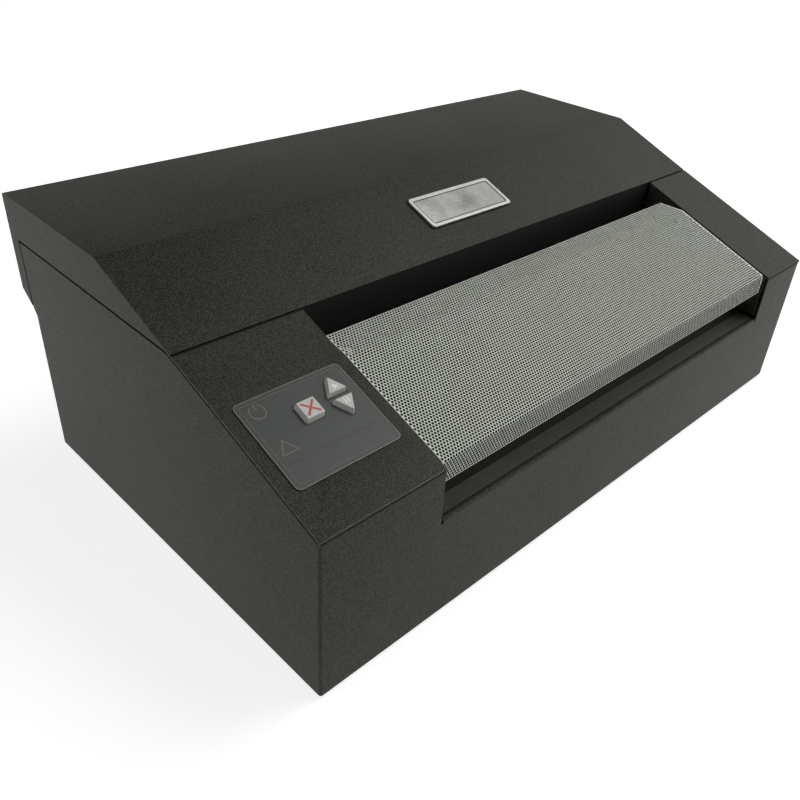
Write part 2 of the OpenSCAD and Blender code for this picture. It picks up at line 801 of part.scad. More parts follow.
// Lid: sloped front, top, back and two sides, with return flanges along the side edges, and an apron
// that is folded down from the front edge and hides the mechanism
module lid_side_view() {
    edge_y = deck_run + (seam_gap / 2 + lid_skin) / (tan(lid_pitch) - seam_rise / (side_d - deck_run));
    tip_y = side_d + seam_gap;
    toe_slope = (skirt_z - toe_z) / hood_d;
    polygon(outline([[lid_front, lid_z(lid_front), 0], [crease_y, lid_z(crease_y), lid_bend_r],
        [body_d, top_z(body_d), lid_bend_r], [body_d, skirt_z, 0],
        [tip_y, toe_z + (tip_y - side_d) * toe_slope, 0], [tip_y, seam_z(tip_y) + seam_gap / 2, 0],
        [edge_y, seam_z(edge_y) + seam_gap / 2, 0], [lid_front, lid_z(lid_front) - lid_skin, 0]]));
}

module lid_inside_view() {
    front = deck_run - 5;
    inner_r = lid_bend_r - sheet;
    polygon(outline([[front, lid_z(front) - lid_skin, 0],
        [inner_crease_y, lid_z(inner_crease_y) - lid_skin, inner_r],
        [body_d - sheet, top_z(body_d - sheet) - top_skin, inner_r],
        [body_d - sheet, 0, 0], [front, 0, 0]]));
}

module lid() {
    flange_y0 = wrap_top_y + 8;
    flange_y1 = side_d - hood_d;
    color(charcoal) seat() {
        difference() {
            along_x(0, body_w) lid_side_view();
            along_x(sheet, body_w - sheet) lid_inside_view();
        }
        both_sides() along_x(sheet / 2, sheet + flange_w) polygon([
            [flange_y0, seam_z(flange_y0) + seam_gap / 2],
            [flange_y1, seam_z(flange_y1) + seam_gap / 2],
            [flange_y1, seam_z(flange_y1) + seam_gap / 2 + sheet],
            [flange_y0, seam_z(flange_y0) + seam_gap / 2 + sheet]]);
        along_x(left_strip + apron_gap, opening_r - apron_gap) polygon([
            [lid_front, apron_z], [lid_front, lid_z(lid_front) - lid_skin / 2],
            [lid_front + sheet, lid_z(lid_front + sheet) - lid_skin / 2], [lid_front + sheet, apron_z]]);
    }
}

// Rubber buttons on the wall's flanges, which the lid comes down on
module lid_bumpers() {
    y0 = wrap_top_y + 20;
    y1 = side_d - hood_d - 14;
    color(black) seat() both_sides() for (y = [y0, y1])
        translate([sheet + flange_w / 2, y, seam_z(y) - seam_gap / 2 + 0.06])
            cylinder(h = seam_gap - move_clear - 0.12, r = flange_w / 2 - 1.5);
}

module badge_plate() {
    r = 3;
    color(nickel) seat() on_lid(body_w / 2, badge_s) difference() {
        linear_extrude(badge_t) soft_rect(badge_w, badge_h, r);
        translate([0, 0, badge_t - 0.6]) linear_extrude(1)
            soft_rect(badge_w - 2 * badge_rim, badge_h - 2 * badge_rim, r - 1);
    }
}

// Hinges: brackets on the back panel, leaves on the lid's back, and pins
module knuckle(x0, x1, r_in) {
    along_x(x0, x1) difference() {
        union() {
            translate([hinge_y, hinge_z]) circle(knuckle_d / 2);
            children();
        }
        translate([hinge_y, hinge_z]) circle(r_in);
    }
}

module hinge_brackets() {
    gap = knuckle_w / 2 + move_clear;
    r = knuckle_d / 2;
    foot_z = rear_h - bracket_h;
    color(zinc) seat() both_sides() {
        block([hinge_x - leaf_w / 2, base_d, foot_z], [hinge_x + leaf_w / 2, base_d + leaf_t, rear_h - 2]);
        for (x = [hinge_x - gap - end_knuckle_w, hinge_x + gap])
            knuckle(x, x + end_knuckle_w, hinge_pin_d / 2 + seat_clear)
                polygon([[base_d, foot_z + arm_in], [base_d + leaf_t, foot_z + arm_in],
                    [hinge_y + r * 0.95, hinge_z - 1], [hinge_y - r * 0.3, hinge_z + r * 0.9],
                    [base_d, rear_h - arm_in]]);
    }
}

module lid_hinge_leaves() {
    r = knuckle_d / 2;
    leaf_y1 = body_d - sheet;
    leaf_y0 = leaf_y1 - leaf_t;
    leaf_z0 = skirt_z + leaf_lift;
    color(zinc) seat() both_sides() {
        block([hinge_x - leaf_w / 2, leaf_y0, leaf_z0], [hinge_x + leaf_w / 2, leaf_y1, leaf_z0 + leaf_h]);
        knuckle(hinge_x - knuckle_w / 2, hinge_x + knuckle_w / 2, hinge_pin_d / 2 + run_clear)
            polygon([[hinge_y - r, hinge_z], [hinge_y + r * 0.8, hinge_z - r * 0.5],
                [leaf_y1, leaf_z0 + arm_in / 2], [leaf_y1, leaf_z0 + arm_h], [leaf_y0, leaf_z0 + arm_h]]);
    }
}

module hinge_pins() {
    reach = knuckle_w / 2 + move_clear + end_knuckle_w;
    color(steel) seat() both_sides() {
        bar_x(hinge_x - reach, hinge_x + reach, hinge_y, hinge_z, hinge_pin_d / 2);
        bar_x(hinge_x - reach - 1.5, hinge_x - reach, hinge_y, hinge_z, hinge_pin_d / 2 + 1);
    }
}

// Perforated guide: lip, sloped panel and flatter back strip in one folded sheet, with the tabs
// and pins that it tilts on
module guide_view() {
    lip_z = deck_z(guide_front);
    inner = guide_front + guide_t;
    back_z = deck_z(guide_fold) + (guide_rear - guide_fold) * tan(guide_rear_pitch);
    polygon(outline([[guide_front, lip_z - lip_h, 0], [guide_front, lip_z, 1.5],
        [guide_fold, deck_z(guide_fold), 0], [guide_rear, back_z, 0],
        [guide_rear, back_z - rear_skin, 0], [inner_fold_y, deck_z(inner_fold_y) - guide_skin, 0],
        [inner, deck_z(inner) - guide_skin, 0], [inner, lip_z - lip_h, 0]]));
}

// Staggered rows of holes through a sheet whose upper face is at z = 0
module hole_field(w, h) {
    row = perf_pitch * sqrt(3) / 2;
    margin = perf_d / 2 + 1;
    rows = floor((h - 2 * margin) / row);
    across = floor((w - 2 * margin) / perf_pitch);
    translate([(w - across * perf_pitch) / 2, (h - rows * row) / 2, -guide_t - cut_over])
        linear_extrude(guide_t + 2 * cut_over) for (k = [0 : rows], i = [0 : across - k % 2])
            translate([(i + (k % 2) / 2) * perf_pitch, k * row]) circle(perf_d / 2);
}

module guide_tab(x) {
    r = 5;
    along_x(x, x + guide_t) {
        translate([guide_pin_y, guide_pin_z]) circle(r);
        polygon([[guide_pin_y - r, guide_pin_z],
            [guide_pin_y - r, deck_z(guide_pin_y - r) - guide_skin / 2],
            [guide_pin_y + 1, deck_z(guide_pin_y + 1) - guide_skin / 2],
            [guide_pin_y + r, guide_pin_z]]);
    }
}

module paper_guide() {
    w = guide_r - guide_l;
    panel_s = guide_front / cos(deck_pitch);
    strip_h = (guide_rear - guide_fold) / cos(guide_rear_pitch);
    color(perforated_grey) seat() {
        difference() {
            along_x(guide_l, guide_r) guide_view();
            translate([guide_l, guide_front, deck_z(guide_front) - lip_h]) rotate([90, 0, 0])
                hole_field(w, lip_h - bend_h);
            on_deck(guide_l, panel_s + bend_h)
                hole_field(w, guide_fold / cos(deck_pitch) - panel_s - 2 * bend_h);
            translate([guide_l, guide_fold, deck_z(guide_fold)]) rotate([guide_rear_pitch, 0, 0])
                translate([0, bend_h, 0]) hole_field(w - guide_cut_x, strip_h - bend_h);
            translate([guide_r, guide_rear, 0]) linear_extrude(deck_z(body_d))
                polygon([[cut_over, cut_over], [-guide_cut_x, cut_over], [-guide_cut_x, 0],
                    [0, -guide_cut_y], [cut_over, -guide_cut_y]]);
        }
        guide_tab(guide_l);
        guide_tab(guide_r - guide_t);
        bar_x(left_strip - 2 * sheet, guide_l + guide_t / 2, guide_pin_y, guide_pin_z, guide_pin_d / 2);
        bar_x(guide_r - guide_t / 2, opening_r + 2 * sheet, guide_pin_y, guide_pin_z, guide_pin_d / 2);
    }
}

// Inner frame plates: flanged feet, windows, seats for the rods and shafts and a belt notch
module plate_view() {
    step_y = rod_front_y - rod_d - 4;
    step_z = paper_z + 14;
    notch_y0 = belt_y - belt_out - notch_gap;
    notch_y1 = belt_y + belt_out + notch_gap;
    difference() {
        polygon(outline([[frame_front, pan_z, 0], [frame_front, slot_z + 24, 6],
            [deck_run - 6, deck_z(deck_run) - 22, 6], [step_y - 6, step_z, 4], [step_y, frame_top, 4],
            [frame_rear, frame_top, 6], [frame_rear, pan_z, 0]]));
        translate([frame_front + window_in + front_window_w / 2, window_z])
            soft_rect(front_window_w, window_h, window_r);
        translate([emboss_y + window_r, window_z]) soft_rect(rear_window_w, window_h, window_r);
        translate([notch_y0, belt_z - belt_w / 2 - notch_gap])
            square([notch_y1 - notch_y0, frame_top]);
        for (y = [rod_front_y, rod_rear_y]) translate([y, rod_z]) circle(rod_d / 2 + seat_clear);
        translate([support_y, feed_z]) circle(support_d / 2 + seat_clear);
        translate([feed_y, feed_z]) circle(journal_d / 2 + 3 + seat_clear);
    }
}

module plate_foot(x0, x1) {
    block([x0, frame_front + foot_in, pan_z], [x1, frame_rear - foot_in, pan_z + frame_t]);
}

module left_side_plate() {
    color(zinc) seat() {
        along_x(frame_l - frame_t, frame_l) plate_view();
        plate_foot(frame_l - frame_t - foot_w, frame_l - frame_t / 2);
    }
}

module right_side_plate() {
    x1 = frame_r + frame_t;
    reach = pulley_x_r + motor_w / 2;
    y0 = belt_y - motor_w / 2;
    color(zinc) seat() {
        along_x(frame_r, x1) plate_view();
        plate_foot(x1 - frame_t / 2, x1 + foot_w);
        difference() {
            block([x1 - frame_t / 2, y0, shelf_z - shelf_t],
                [reach, y0 + motor_w, shelf_z]);
            translate([pulley_x_r, belt_y, shelf_z - 2 * shelf_t]) cylinder(h = 4 * shelf_t, r = 6);
        }
    }
}

module guide_rod(y) {
    over = 5;
    groove = 1.2;
    color(steel) seat() difference() {
        bar_x(frame_l - frame_t - over, frame_r + frame_t + over, y, rod_z, rod_d / 2);
        for (x = [frame_l - frame_t - 2.4, frame_r + frame_t + groove]) difference() {
            bar_x(x, x + groove, y, rod_z, rod_d / 2 + cut_over);
            bar_x(x, x + groove, y, rod_z, rod_d / 2 - 0.8);
        }
    }
}

module front_guide_rod() {
    guide_rod(rod_front_y);
}

module rear_guide_rod() {
    guide_rod(rod_rear_y);
}

// Die bar below the paper, with a groove under the punches
module die_bar() {
    top = paper_z - paper_gap;
    groove_w = 8;
    color(steel) seat() along_x(frame_l, frame_r) difference() {
        polygon(outline([[emboss_y - die_w / 2, top - die_h, 0], [emboss_y - die_w / 2, top, 3],
            [emboss_y + die_w / 2, top, 3], [emboss_y + die_w / 2, top - die_h, 0]]));
        translate([emboss_y - groove_w / 2, top - 3]) square([groove_w, 3 + cut_over]);
        translate([emboss_y - die_w / 4, top - die_h - cut_over])
            square([die_w / 2, die_h - 10 + cut_over]);
    }
}

// Ramp from the folded ledge up to the tractors, and the guide from the die bar to the back
module inlet_ramp() {
    wide_y = frame_front + 8;
    color(charcoal) seat() {
        along_x(left_strip + relief_w + 1, opening_r - relief_w - 1)
            ramp_strip(ledge_r + 2, wide_y);
        along_x(frame_l, frame_r) ramp_strip(wide_y, ramp_end);
    }
}

module ramp_strip(y0, y1) {
    skin = ramp_t / cos(ramp_pitch);
    mid = max(y0, ramp_flat);
    lift = y0 < ramp_flat ? ramp_t : skin;
    polygon([[y0, ramp_z(y0)], [mid, ramp_z(mid)], [y1, ramp_z(y1)], [y1, ramp_z(y1) + skin],
        [mid, ramp_z(mid) + lift], [y0, ramp_z(y0) + lift]]);
}

module exit_guide() {
    y0 = emboss_y + die_w / 2;
    y1 = base_d - exit_run;
    top = paper_z - paper_gap;
    lip_y = base_d + exit_over;
    lip_z = top - exit_drop;
    color(zinc) seat() {
        along_x(frame_l + frame_gap / 2, frame_r - frame_gap / 2)
            polygon(outline([[y0, top, 0], [y1, top, 8], [lip_y, lip_z, 0],
                [lip_y - ramp_t, lip_z - ramp_t / 2, 0], [y1 - ramp_t / 2, top - ramp_t, 7],
                [y0, top - ramp_t, 0]]));
        for (x = [frame_l, frame_r - frame_gap / 2 - ramp_t]) block([x, y0 + 4, top - exit_drop],
            [x + frame_gap / 2 + ramp_t, frame_rear - exit_run, top - ramp_t / 2]);
    }
}

// Reflective sensor under the ramp, which sees the paper through the tractors' gap
module paper_sensor() {
    y = ramp_end - 14;
    color(black) seat() translate([carriage_x, y, ramp_z(y)]) rotate([ramp_pitch, 0, 0]) {
        translate([-10, -6, -8]) cube([20, 12, 8]);
        translate([-14, -3, -2]) cube([28, 6, 2]);
        translate([-6, -4, -11]) cube([12, 8, 3]);
    }
}

// Feed: support rod, bushes, square shaft, gear, and motor with its pinion
module support_rod() {
    over = 1;
    color(steel) seat()
        bar_x(frame_l - frame_t - over, frame_r + frame_t + over, support_y, feed_z, support_d / 2);
}

module feed_bushes() {
    r = journal_d / 2;
    color(brass) seat() difference() {
        union() {
            for (x = [frame_l - frame_t, frame_r]) bar_x(x, x + frame_t, feed_y, feed_z, r + 3);
            bar_x(frame_l, frame_l + 2, feed_y, feed_z, r + 5);
            bar_x(frame_r - 2, frame_r, feed_y, feed_z, r + 5);
        }
        bar_x(frame_l - frame_t - cut_over, frame_r + frame_t + cut_over, feed_y, feed_z, r + run_clear);
    }
}

module feed_shaft() {
    shoulder = 3;
    color(steel) seat() {
        along_x(frame_l + shoulder, frame_r - shoulder) translate([feed_y, feed_z])
            square(square_w, center = true);
        bar_x(frame_l - frame_t - 3, frame_l + shoulder + 1, feed_y, feed_z, journal_d / 2);
        bar_x(frame_r - shoulder - 1, gear_x + gear_w + 2, feed_y, feed_z, journal_d / 2);
    }
}

module feed_gear() {
    r = gear_m * gear_n / 2;
    color(resin_grey) seat() {
        along_x(gear_x, gear_x + gear_w) translate([feed_y, feed_z]) rotate(180) difference() {
            polygon(gear_outline(gear_n, gear_m));
            circle(journal_d / 2 + seat_clear);
            for (a = [0 : 60 : 300]) rotate(a + 30) translate([r * 0.58, 0]) circle(r * 0.17);
        }
        along_x(gear_x - 1, gear_x + gear_w + 1.5) translate([feed_y, feed_z]) difference() {
            circle(journal_d / 2 + 4);
            circle(journal_d / 2 + seat_clear);
        }
    }
}

module feed_pinion() {
    color(brass) seat() {
        along_x(gear_x, gear_x + gear_w) translate([pinion_y, feed_z]) rotate(180 / pinion_n)
            polygon(gear_outline(pinion_n, gear_m));
        bar_x(gear_x + gear_w / 2, gear_x + gear_w + feed_shaft_l, pinion_y, feed_z, motor_shaft_r);
    }
}

// Round motor on a two eared flange, held off the plate by two posts
module feed_motor() {
    x0 = gear_x + gear_w + 2.5;
    ear = feed_motor_d / 2 + 4;
    bore_end = gear_x + gear_w + feed_shaft_l + move_clear;
    color(black) seat() {
        difference() {
            union() {
                bar_x(x0, x0 + feed_motor_l, pinion_y, feed_z, feed_motor_d / 2);
                along_x(x0, x0 + 2.5) translate([pinion_y, feed_z]) rotate(90) {
                    stadium(-ear, ear, 5);
                    circle(feed_motor_d / 2);
                }
            }
            bar_x(x0 - cut_over, bore_end, pinion_y, feed_z, motor_shaft_r + run_clear);
        }
        for (s = [-1, 1]) bar_x(frame_r + frame_t, x0, pinion_y, feed_z + s * ear, 3.5);
    }
}

// Tractors. Shapes are drawn for the left one, from its outer cheek inwards, and mirrored
module tractor_place(side) {
    if (side < 0) translate([tractor_l, 0, 0]) children();
    else translate([tractor_r, 0, 0]) mirror([1, 0, 0]) children();
}

module tractor_housing() {
    cheek_r = belt_core_r;
    ears = [gate_y0 - ear_w - move_clear, gate_y1 + move_clear];
    difference() {
        union() {
            for (x = [0, tractor_w - cheek_t]) along_x(x, x + cheek_t) translate([0, feed_z])
                stadium(support_y, feed_y, cheek_r);
            along_x(0, tractor_w) translate([0, feed_z]) {
                translate([support_y, 0]) circle(cheek_r);
                translate([support_y, -cheek_r]) square([rod_gap - cheek_r - 1, 2 * cheek_r]);
            }
            for (y = ears) {
                block([gate_axis_x - ear_r, y, feed_z + 4], [cheek_t / 2, y + ear_w, gate_axis_z]);
                bar_y(y, y + ear_w, gate_axis_x, gate_axis_z, ear_r);
            }
        }
        bar_x(-cut_over, tractor_w + cut_over, support_y, feed_z, support_d / 2 + run_clear);
        for (x = [0, tractor_w - cheek_t]) bar_x(x - cut_over, x + cheek_t + cut_over, feed_y, feed_z,
            hub_r + run_clear);
        bar_y(ears[0] - cut_over, ears[1] + ear_w + cut_over, gate_axis_x, gate_axis_z,
            gate_pin_r + run_clear);
        block([cheek_t, feed_y - belt_core_r - 1, feed_z - cheek_r - 1],
            [tractor_w - cheek_t, feed_y + cheek_r + 1, feed_z + cheek_r + 1]);
    }
}

module pin_belt() {
    x0 = cheek_t + move_clear;
    x1 = tractor_w - cheek_t - move_clear;
    r_in = pin_belt_r - pin_belt_t;
    count = floor(rod_gap / feed_pin_pitch);
    first = (support_y + feed_y - count * feed_pin_pitch) / 2;
    along_x(x0, x1) translate([0, feed_z]) difference() {
        stadium(support_y, feed_y, pin_belt_r);
        stadium(support_y, feed_y, r_in);
    }
    for (i = [0 : count], up = [-1, 1]) translate([tractor_w / 2, first + i * feed_pin_pitch, feed_z])
        rotate([up < 0 ? 180 : 0, 0, 0]) translate([0, 0, pin_belt_r - 0.4]) rotate_extrude()
            polygon([[0, 0], [feed_pin_d / 2, 0], [feed_pin_d / 2, feed_pin_h / 2],
                [feed_pin_d / 3, feed_pin_h + 0.4], [0, feed_pin_h + 0.4]]);
}

module sprocket() {
    x0 = cheek_t + 2 * move_clear;
    x1 = tractor_w - cheek_t - 2 * move_clear;
    r = pin_belt_r - pin_belt_t - move_clear;
    difference() {
        union() {
            bar_x(0, tractor_w, feed_y, feed_z, hub_r);
            bar_x(x0, x1, feed_y, feed_z, r);
        }
        along_x(-cut_over, tractor_w + cut_over) translate([feed_y, feed_z])
            square(square_w + 2 * run_clear, center = true);
        for (a = [0 : 45 : 315]) along_x(x0 - cut_over, x1 + cut_over)
            translate([feed_y, feed_z]) rotate(a) translate([r, 0]) circle(1.4);
    }
}

// Hinged gate that holds the paper down on the pins, with a slot for them
module gate() {
    reach = tractor_w - 1;
    slot_w = feed_pin_d + 3;
    difference() {
        block([gate_axis_x, gate_y0, gate_z], [reach, gate_y1, gate_z + gate_t]);
        block([tractor_w / 2 - slot_w / 2, gate_y0 + 4, gate_z - cut_over],
            [tractor_w / 2 + slot_w / 2, gate_y1 - 4, gate_z + gate_t + cut_over]);
    }
    block([reach - 3, gate_y0 + 14, gate_z + gate_t / 2], [reach, gate_y1 - 14, gate_z + gate_t + 3]);
    bar_y(gate_y0, gate_y1, gate_axis_x, gate_axis_z, gate_barrel_r);
    bar_y(gate_y0 - ear_w, gate_y1 + ear_w, gate_axis_x, gate_axis_z, gate_pin_r);
}

// Lever that clamps the tractor to the support rod
module lock_lever() {
    x0 = tractor_w + move_clear;
    thick = 5;
    rise = 20;
    along_x(x0, x0 + thick) translate([support_y, feed_z]) difference() {
        union() {
            circle(support_d / 2 + 4);
            rotate(180 - rise) translate([0, -lever_tip_r]) square([lever_arm, 2 * lever_tip_r]);
            rotate(180 - rise) translate([lever_arm, 0]) circle(lever_tip_r);
        }
        circle(support_d / 2 + run_clear);
    }
}

module left_tractor() {
    color(resin_grey) seat() tractor_place(-1) tractor_housing();
}

module left_pin_belt() {
    color(black) seat() tractor_place(-1) pin_belt();
}

module left_sprocket() {
    color(key_grey) seat() tractor_place(-1) sprocket();
}

module left_gate() {
    color(resin_grey) seat() tractor_place(-1) gate();
}

module left_lock_lever() {
    color(key_grey) seat() tractor_place(-1) lock_lever();
}

module right_tractor() {
    color(resin_grey) seat() tractor_place(1) tractor_housing();
}

module right_pin_belt() {
    color(black) seat() tractor_place(1) pin_belt();
}

module right_sprocket() {
    color(key_grey) seat() tractor_place(1) sprocket();
}

module right_gate() {
    color(resin_grey) seat() tractor_place(1) gate();
}

module right_lock_lever() {
    color(key_grey) seat() tractor_place(1) lock_lever();
}

// Carriage on its two rods: block, bushes, head with cooling fins, punches and belt clamp
module emboss_carriage() {
    x0 = carriage_x - carriage_w / 2;
    nose_w = 16;
    color(resin_grey) seat() difference() {
        union() {
            along_x(x0, x0 + carriage_w) polygon(outline([
                [emboss_y - carriage_d / 2, carriage_z, 4], [carriage_rear, carriage_z, 4],
                [carriage_rear, carriage_top, 4], [emboss_y - carriage_d / 2, carriage_top, 4]]));
            block([x0 + 8, emboss_y - nose_w / 2, paper_z + 4 + paper_gap],
                [x0 + carriage_w - 8, emboss_y + nose_w / 2, carriage_z + 1]);
        }
        for (y = [rod_front_y, rod_rear_y])
            bar_x(x0 - cut_over, x0 + carriage_w + cut_over, y, rod_z, bush_d / 2 + seat_clear);
        for (p = punch_spots) translate([p[0], p[1], paper_z])
            cylinder(h = carriage_h, r = punch_d / 2 + run_clear);
    }
}

module carriage_bushes() {
    x0 = carriage_x - carriage_w / 2 - 3;
    x1 = carriage_x + carriage_w / 2 + 3;
    color(brass) seat() for (y = [rod_front_y, rod_rear_y]) difference() {
        bar_x(x0, x1, y, rod_z, bush_d / 2);
        bar_x(x0 - cut_over, x1 + cut_over, y, rod_z, rod_d / 2 + run_clear);
    }
}

module emboss_head() {
    head_w = carriage_w - 16;
    head_d = rod_span - bush_d + 8;
    base_h = 8;
    fin_h = 12;
    fin_t = 2;
    fins = 8;
    step = (head_w - fin_t) / (fins - 1);
    color(black) seat() translate([carriage_x - head_w / 2, emboss_y - head_d / 2, carriage_top]) {
        cube([head_w, head_d, base_h]);
        for (i = [0 : fins - 1]) translate([i * step, 0, base_h - 1]) cube([fin_t, head_d, fin_h + 1]);
    }
}

module punches() {
    tip = paper_z + paper_gap;
    color(steel) seat() for (p = punch_spots) translate([p[0], p[1], tip]) rotate_extrude()
        polygon([[0, 0], [punch_d / 4, 0], [punch_d / 2, 1.2], [punch_d / 2, carriage_h / 2 + 4],
            [0, carriage_h / 2 + 4]]);
}

module belt_clamp() {
    half = 12;
    top = belt_z + belt_w / 2 + move_clear;
    low = belt_z - belt_w / 2 - 2;
    run = belt_y - belt_out - move_clear;
    back = belt_y - belt_in + move_clear;
    color(zinc) seat() along_x(carriage_x - half, carriage_x + half)
        polygon([[carriage_rear, low], [run, low], [run, top], [back, top], [back, low],
            [back + clamp_wall, low], [back + clamp_wall, top + clamp_wall],
            [carriage_rear, top + clamp_wall]]);
}

// Toothed belt loop, its two pulleys, the motor and the idler's bracket
module drive_belt() {
    color(black) seat() translate([0, belt_y, belt_z - belt_w / 2]) linear_extrude(belt_w) difference() {
        stadium(pulley_x_l, pulley_x_r, belt_out);
        stadium(pulley_x_l, pulley_x_r, belt_in);
    }
}

module pulley(x) {
    rim_r = belt_out + 0.8;
    rim_t = 1;
    teeth = 16;
    low = belt_z - belt_w / 2 - move_clear;
    translate([x, belt_y, low]) {
        linear_extrude(belt_w + 2 * move_clear) difference() {
            circle(pulley_r);
            for (i = [0 : teeth - 1]) rotate(i * 360 / teeth) translate([pulley_r, 0]) circle(0.6);
            children();
        }
        for (z = [-rim_t, belt_w + 2 * move_clear]) translate([0, 0, z]) linear_extrude(rim_t)
            difference() {
                circle(rim_r);
                children();
            }
    }
}

module motor_pulley() {
    low = shelf_z - shelf_t - motor_shaft_l;
    high = belt_z + belt_w / 2 + 2;
    color(zinc) seat() {
        pulley(pulley_x_r) circle(motor_shaft_r / 2);
        translate([pulley_x_r, belt_y, low]) cylinder(h = high - low, r = motor_shaft_r);
    }
}

module idler_pulley() {
    color(zinc) seat() pulley(pulley_x_l) circle(idler_pin_r + run_clear);
}

module carriage_motor() {
    top = shelf_z - shelf_t;
    boss_r = 5.6;
    bore = motor_shaft_l + move_clear;
    color(black) seat() difference() {
        union() {
            translate([pulley_x_r, belt_y, top - motor_h]) linear_extrude(motor_h)
                soft_rect(motor_w, motor_w, 4);
            translate([pulley_x_r, belt_y, top - 1]) cylinder(h = shelf_t + 1, r = boss_r);
        }
        translate([pulley_x_r, belt_y, top - bore])
            cylinder(h = bore + shelf_t + cut_over, r = motor_shaft_r + run_clear);
    }
}

module idler_bracket() {
    x1 = frame_l - frame_t;
    half = 12;
    wall = 20;
    color(zinc) seat() {
        block([pulley_x_l - half, belt_y - half, shelf_z - shelf_t], [x1, belt_y + half, shelf_z]);
        block([x1 - shelf_t, belt_y - half, shelf_z - wall], [x1, belt_y + half, shelf_z]);
        translate([pulley_x_l, belt_y, shelf_z - 1]) {
            cylinder(h = belt_z - belt_w / 2 - 2 * move_clear - shelf_z, r = idler_pin_r + 2);
            cylinder(h = belt_z + belt_w / 2 + 4 - shelf_z, r = idler_pin_r);
        }
    }
}

// Power supply with slots in its cover
module power_supply() {
    skin = 1.2;
    slots = 12;
    color(zinc) seat() translate([supply_x, supply_y, pan_z]) difference() {
        cube([supply_w, supply_d, supply_h]);
        translate([skin, skin, skin]) cube([supply_w - 2 * skin, supply_d - 2 * skin, supply_h - 2 * skin]);
        for (i = [0 : slots - 1]) translate([16 + i * 11, 20, supply_h - 2 * skin])
            cube([4, supply_d - 40, 4 * skin]);
    }
}

// Main board on its posts, with connectors, capacitors and a finned heat sink
module main_board() {
    top = pan_z + post_h + board_t;
    y0 = board_rear - board_d;
    fins = 9;
    color(board_green) seat() {
        block([board_x, y0, top - board_t], [board_x + board_w, board_rear, top]);
        for (i = [0 : 3]) translate([board_x + part_row + i * part_step, y0 + part_row, top])
            cylinder(h = part_step, r = part_step * 0.36);
        for (i = [0 : 2]) translate([board_x + board_w - (i + 1) * plug_step, y0 + plug_step, top])
            cube([plug_step - 2, 2 * plug_step, plug_step * 0.75]);
        translate([board_x + (board_w - sink_w) / 2, y0 + (board_d - sink_d) / 2, top]) {
            cube([sink_w, sink_d, sink_fin]);
            for (i = [0 : fins - 1]) translate([i * (sink_w - sink_fin) / (fins - 1), 0, 0])
                cube([sink_fin, sink_d, sink_h]);
        }
        for (x = [board_x + part_row / 2, board_x + board_w - part_row / 2 - part_step])
            translate([x, y0 + board_d / 2, top]) cube([part_step, part_step, chip_h]);
    }
}

// Sockets on the board's back edge, open through the back panel
module socket_shell(x, w, h, wall) {
    mouth = base_d + 0.5;
    deep = 16;
    back = board_rear - 6;
    difference() {
        block([x - w / 2, back, port_z], [x + w / 2, mouth, port_z + h]);
        block([x - w / 2 + wall, mouth - deep, port_z + wall], [x + w / 2 - wall, mouth + cut_over,
            port_z + h - wall]);
    }
}

module data_sockets() {
    color(steel) seat() {
        socket_shell(port_x, usb_w, usb_h, 1.4);
        socket_shell(port_x + port_gap, net_w, net_h, 1.6);
    }
}

// Mains inlet with its three blades, and the rocker switch beside it
module power_inlet() {
    lip = 3;
    deep = 18;
    hole_w = 24;
    hole_h = 16.5;
    color(black) seat() translate([inlet_x, base_d, fitting_z]) rotate([-90, 0, 0]) {
        difference() {
            union() {
                translate([0, 0, -deep - 4]) linear_extrude(deep + 4)
                    square([inlet_w, inlet_h], center = true);
                linear_extrude(2) soft_rect(inlet_w + 2 * lip, inlet_h + 2 * lip, 2);
            }
            translate([0, 0, -deep]) linear_extrude(deep + 3) inlet_hole(hole_w, hole_h);
        }
        for (x = [-7, 0, 7]) translate([x - 1, x == 0 ? -4 : 0, -deep - 0.5]) cube([2, 4, deep - 2]);
    }
}

module inlet_hole(w, h) {
    cut = 4.5;
    polygon([[-w / 2, h / 2], [w / 2, h / 2], [w / 2, -h / 2 + cut], [w / 2 - cut, -h / 2],
        [-w / 2 + cut, -h / 2], [-w / 2, -h / 2 + cut]]);
}

module switch_frame() {
    lip = 1.5;
    deep = 12;
    wall = 1.1;
    color(black) seat() translate([switch_x, base_d, fitting_z]) rotate([-90, 0, 0]) difference() {
        union() {
            translate([0, 0, -deep]) linear_extrude(deep) square([switch_w, switch_h], center = true);
            linear_extrude(1.6) soft_rect(switch_w + 2 * lip, switch_h + 2 * lip, 1);
        }
        translate([0, 0, -deep + 1.5]) linear_extrude(deep + cut_over)
            square([switch_w - 2 * wall, switch_h - 2 * wall], center = true);
        rotate([0, 90, 0]) cylinder(h = switch_w + 2, r = 1 + run_clear, center = true);
    }
}

// Rocker on its own trunnions, at rest with its upper half out
module power_rocker() {
    bow = 4.2;
    color(black) seat() translate([switch_x, base_d, fitting_z]) rotate([-rocker_tilt, 0, 0]) {
        along_x(-rocker_w / 2, rocker_w / 2) polygon([[-bow, -2.5], [-1, -rocker_h / 2],
            [2.2, -rocker_h / 2], [1.2, 0], [2.2, rocker_h / 2], [-1, rocker_h / 2], [-bow, 2.5]]);
        bar_x(-switch_w / 2 + 0.2, switch_w / 2 - 0.2, 0, 0, 1);
    }
}

